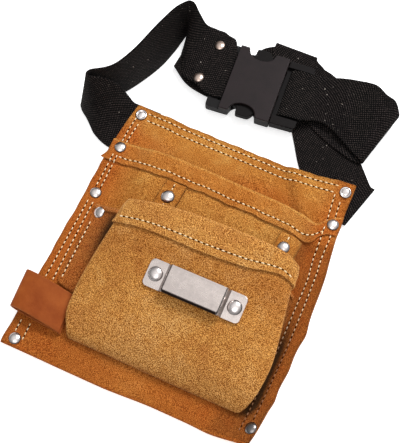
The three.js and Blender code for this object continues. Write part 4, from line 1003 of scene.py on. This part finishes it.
G = hide_at["face"]
st.row(along_rim(G, hide_at["depth"] * 0.72, 10, len(G) - 10), trees["hide"], skip=around)
hide_stitches = st.finish("hide_stitching")
st = Stitching()
G, u = front_at["G"], front_at["u"]
pick = np.where((u > 3.9) & (u < 16.05))[0]
st.row(along_rim(G, front_at["depth"] * 0.74, pick[0], pick[-1]), trees["front"])
y = ys(3, -57)
st.row(np.c_[mix(-95.1, -94.2, (3 - y) / 60), y], trees["front"])
front_stitches = st.finish("front_stitching")
st = Stitching()
for key, x, y, lo, hi in (("left", -40.2, 48.6, 14, 63), ("right", 74, 44.6, 14, 57)):
    for a, b in ((y + 6.5, hi), (lo, y - 6.5)):
        yy = np.linspace(a, b, 20)
        st.row(np.c_[np.full_like(yy, x) + (yy - y) * 0.07, yy], trees[key])
strip_stitches = st.finish("strip_stitching")

# ---------------------------------------------------------------- what each piece stands for
for ob, nodes, slot in ((hide, ("back_panel", "main_pocket"), "suede"), (front, ("front_pocket",), "split_suede"), (strips[0], ("tool_strip_left",), "suede"),
                        (strips[1], ("tool_strip_right",), "suede"), (loop, ("hammer_loop",), "smooth_leather"), (belt_l, ("belt_left",), "webbing"),
                        (belt_r, ("belt_right",), "webbing"), (female, ("buckle_female",), "buckle_plastic"), (male, ("buckle_male",), "buckle_plastic"), (clip, ("tape_clip",), "clip_steel")):
    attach(ob, "root")
    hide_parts(*nodes)

# ---------------------------------------------------------------- floor, light and camera
bpy.ops.mesh.primitive_plane_add(size=8, location=(0, 0, -0.0004))
floor = bpy.context.object
floor.name = "floor"
fm = Nodes("floor_paper")
grain = fm.noise(fm.coords(), 3.0, 2.0, 0.5)
floor.data.materials.append(fm.surface(Base_Color=fm.ramp(grain, [(0.3, (0.86, 0.86, 0.86, 1)), (0.7, (0.9, 0.9, 0.9, 1))]), Roughness=1.0, Specular_IOR_Level=0.0,
                                       Emission_Color=(1.0, 1.0, 1.0, 1.0), Emission_Strength=0.55))
floor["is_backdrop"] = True

world = bpy.data.worlds.new("studio")
bpy.context.scene.world = world
world.use_nodes = True
wt = world.node_tree
sky = wt.nodes.new("ShaderNodeTexCoord")
split = wt.nodes.new("ShaderNodeSeparateXYZ")
ceiling = wt.nodes.new("ShaderNodeValToRGB")
for e, (at, value) in zip([ceiling.color_ramp.elements[0], ceiling.color_ramp.elements[1], ceiling.color_ramp.elements.new(0.5), ceiling.color_ramp.elements.new(0.85)],
                          ((0.0, 0.16), (1.0, 0.9), (0.5, 0.26), (0.85, 0.62))):
    e.position, e.color = at, (value, value, value, 1.0)
wt.links.new(sky.outputs["Generated"], split.inputs[0])
wt.links.new(split.outputs[2], ceiling.inputs[0])
wt.links.new(ceiling.outputs[0], wt.nodes["Background"].inputs[0])
wt.nodes["Background"].inputs[1].default_value = 1.0


def area_light(name, at, look, size, power):
    d = bpy.data.lights.new(name, "AREA")
    d.shape, d.size, d.energy = "DISK", size, power
    o = bpy.data.objects.new(name, d)
    o.location = at
    o.rotation_euler = (Vector(look) - Vector(at)).to_track_quat("-Z", "Y").to_euler()
    bpy.context.scene.collection.objects.link(o)


area_light("key", (0.30, 0.85, 1.2), (0, 0, 0), 0.6, 18.5)
area_light("fill", (0.2, -0.9, 1.4), (0, 0, 0), 1.2, 6.5)

AZ, EL, DIST = math.radians(24.8), math.radians(67.0), 1.150
toward = Vector((math.sin(AZ) * math.cos(EL), -math.cos(AZ) * math.cos(EL), math.sin(EL)))
cam_data = bpy.data.cameras.new("camera")
cam_data.sensor_width, cam_data.sensor_fit, cam_data.lens = 36.0, "AUTO", 36.0 * 1271.0 / 443.0
cam = bpy.data.objects.new("camera", cam_data)
cam.location = Vector((0.010019, -0.011982, 0.0)) + toward * DIST
cam.rotation_euler = (-toward).to_track_quat("-Z", "Y").to_euler()
bpy.context.scene.collection.objects.link(cam)
bpy.context.scene.camera = cam
bpy.context.scene.view_settings.view_transform = "Standard"
bpy.context.scene.view_settings.look = "None"

{"cad": cad_box, "visual": [list(map(float, c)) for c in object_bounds()]}
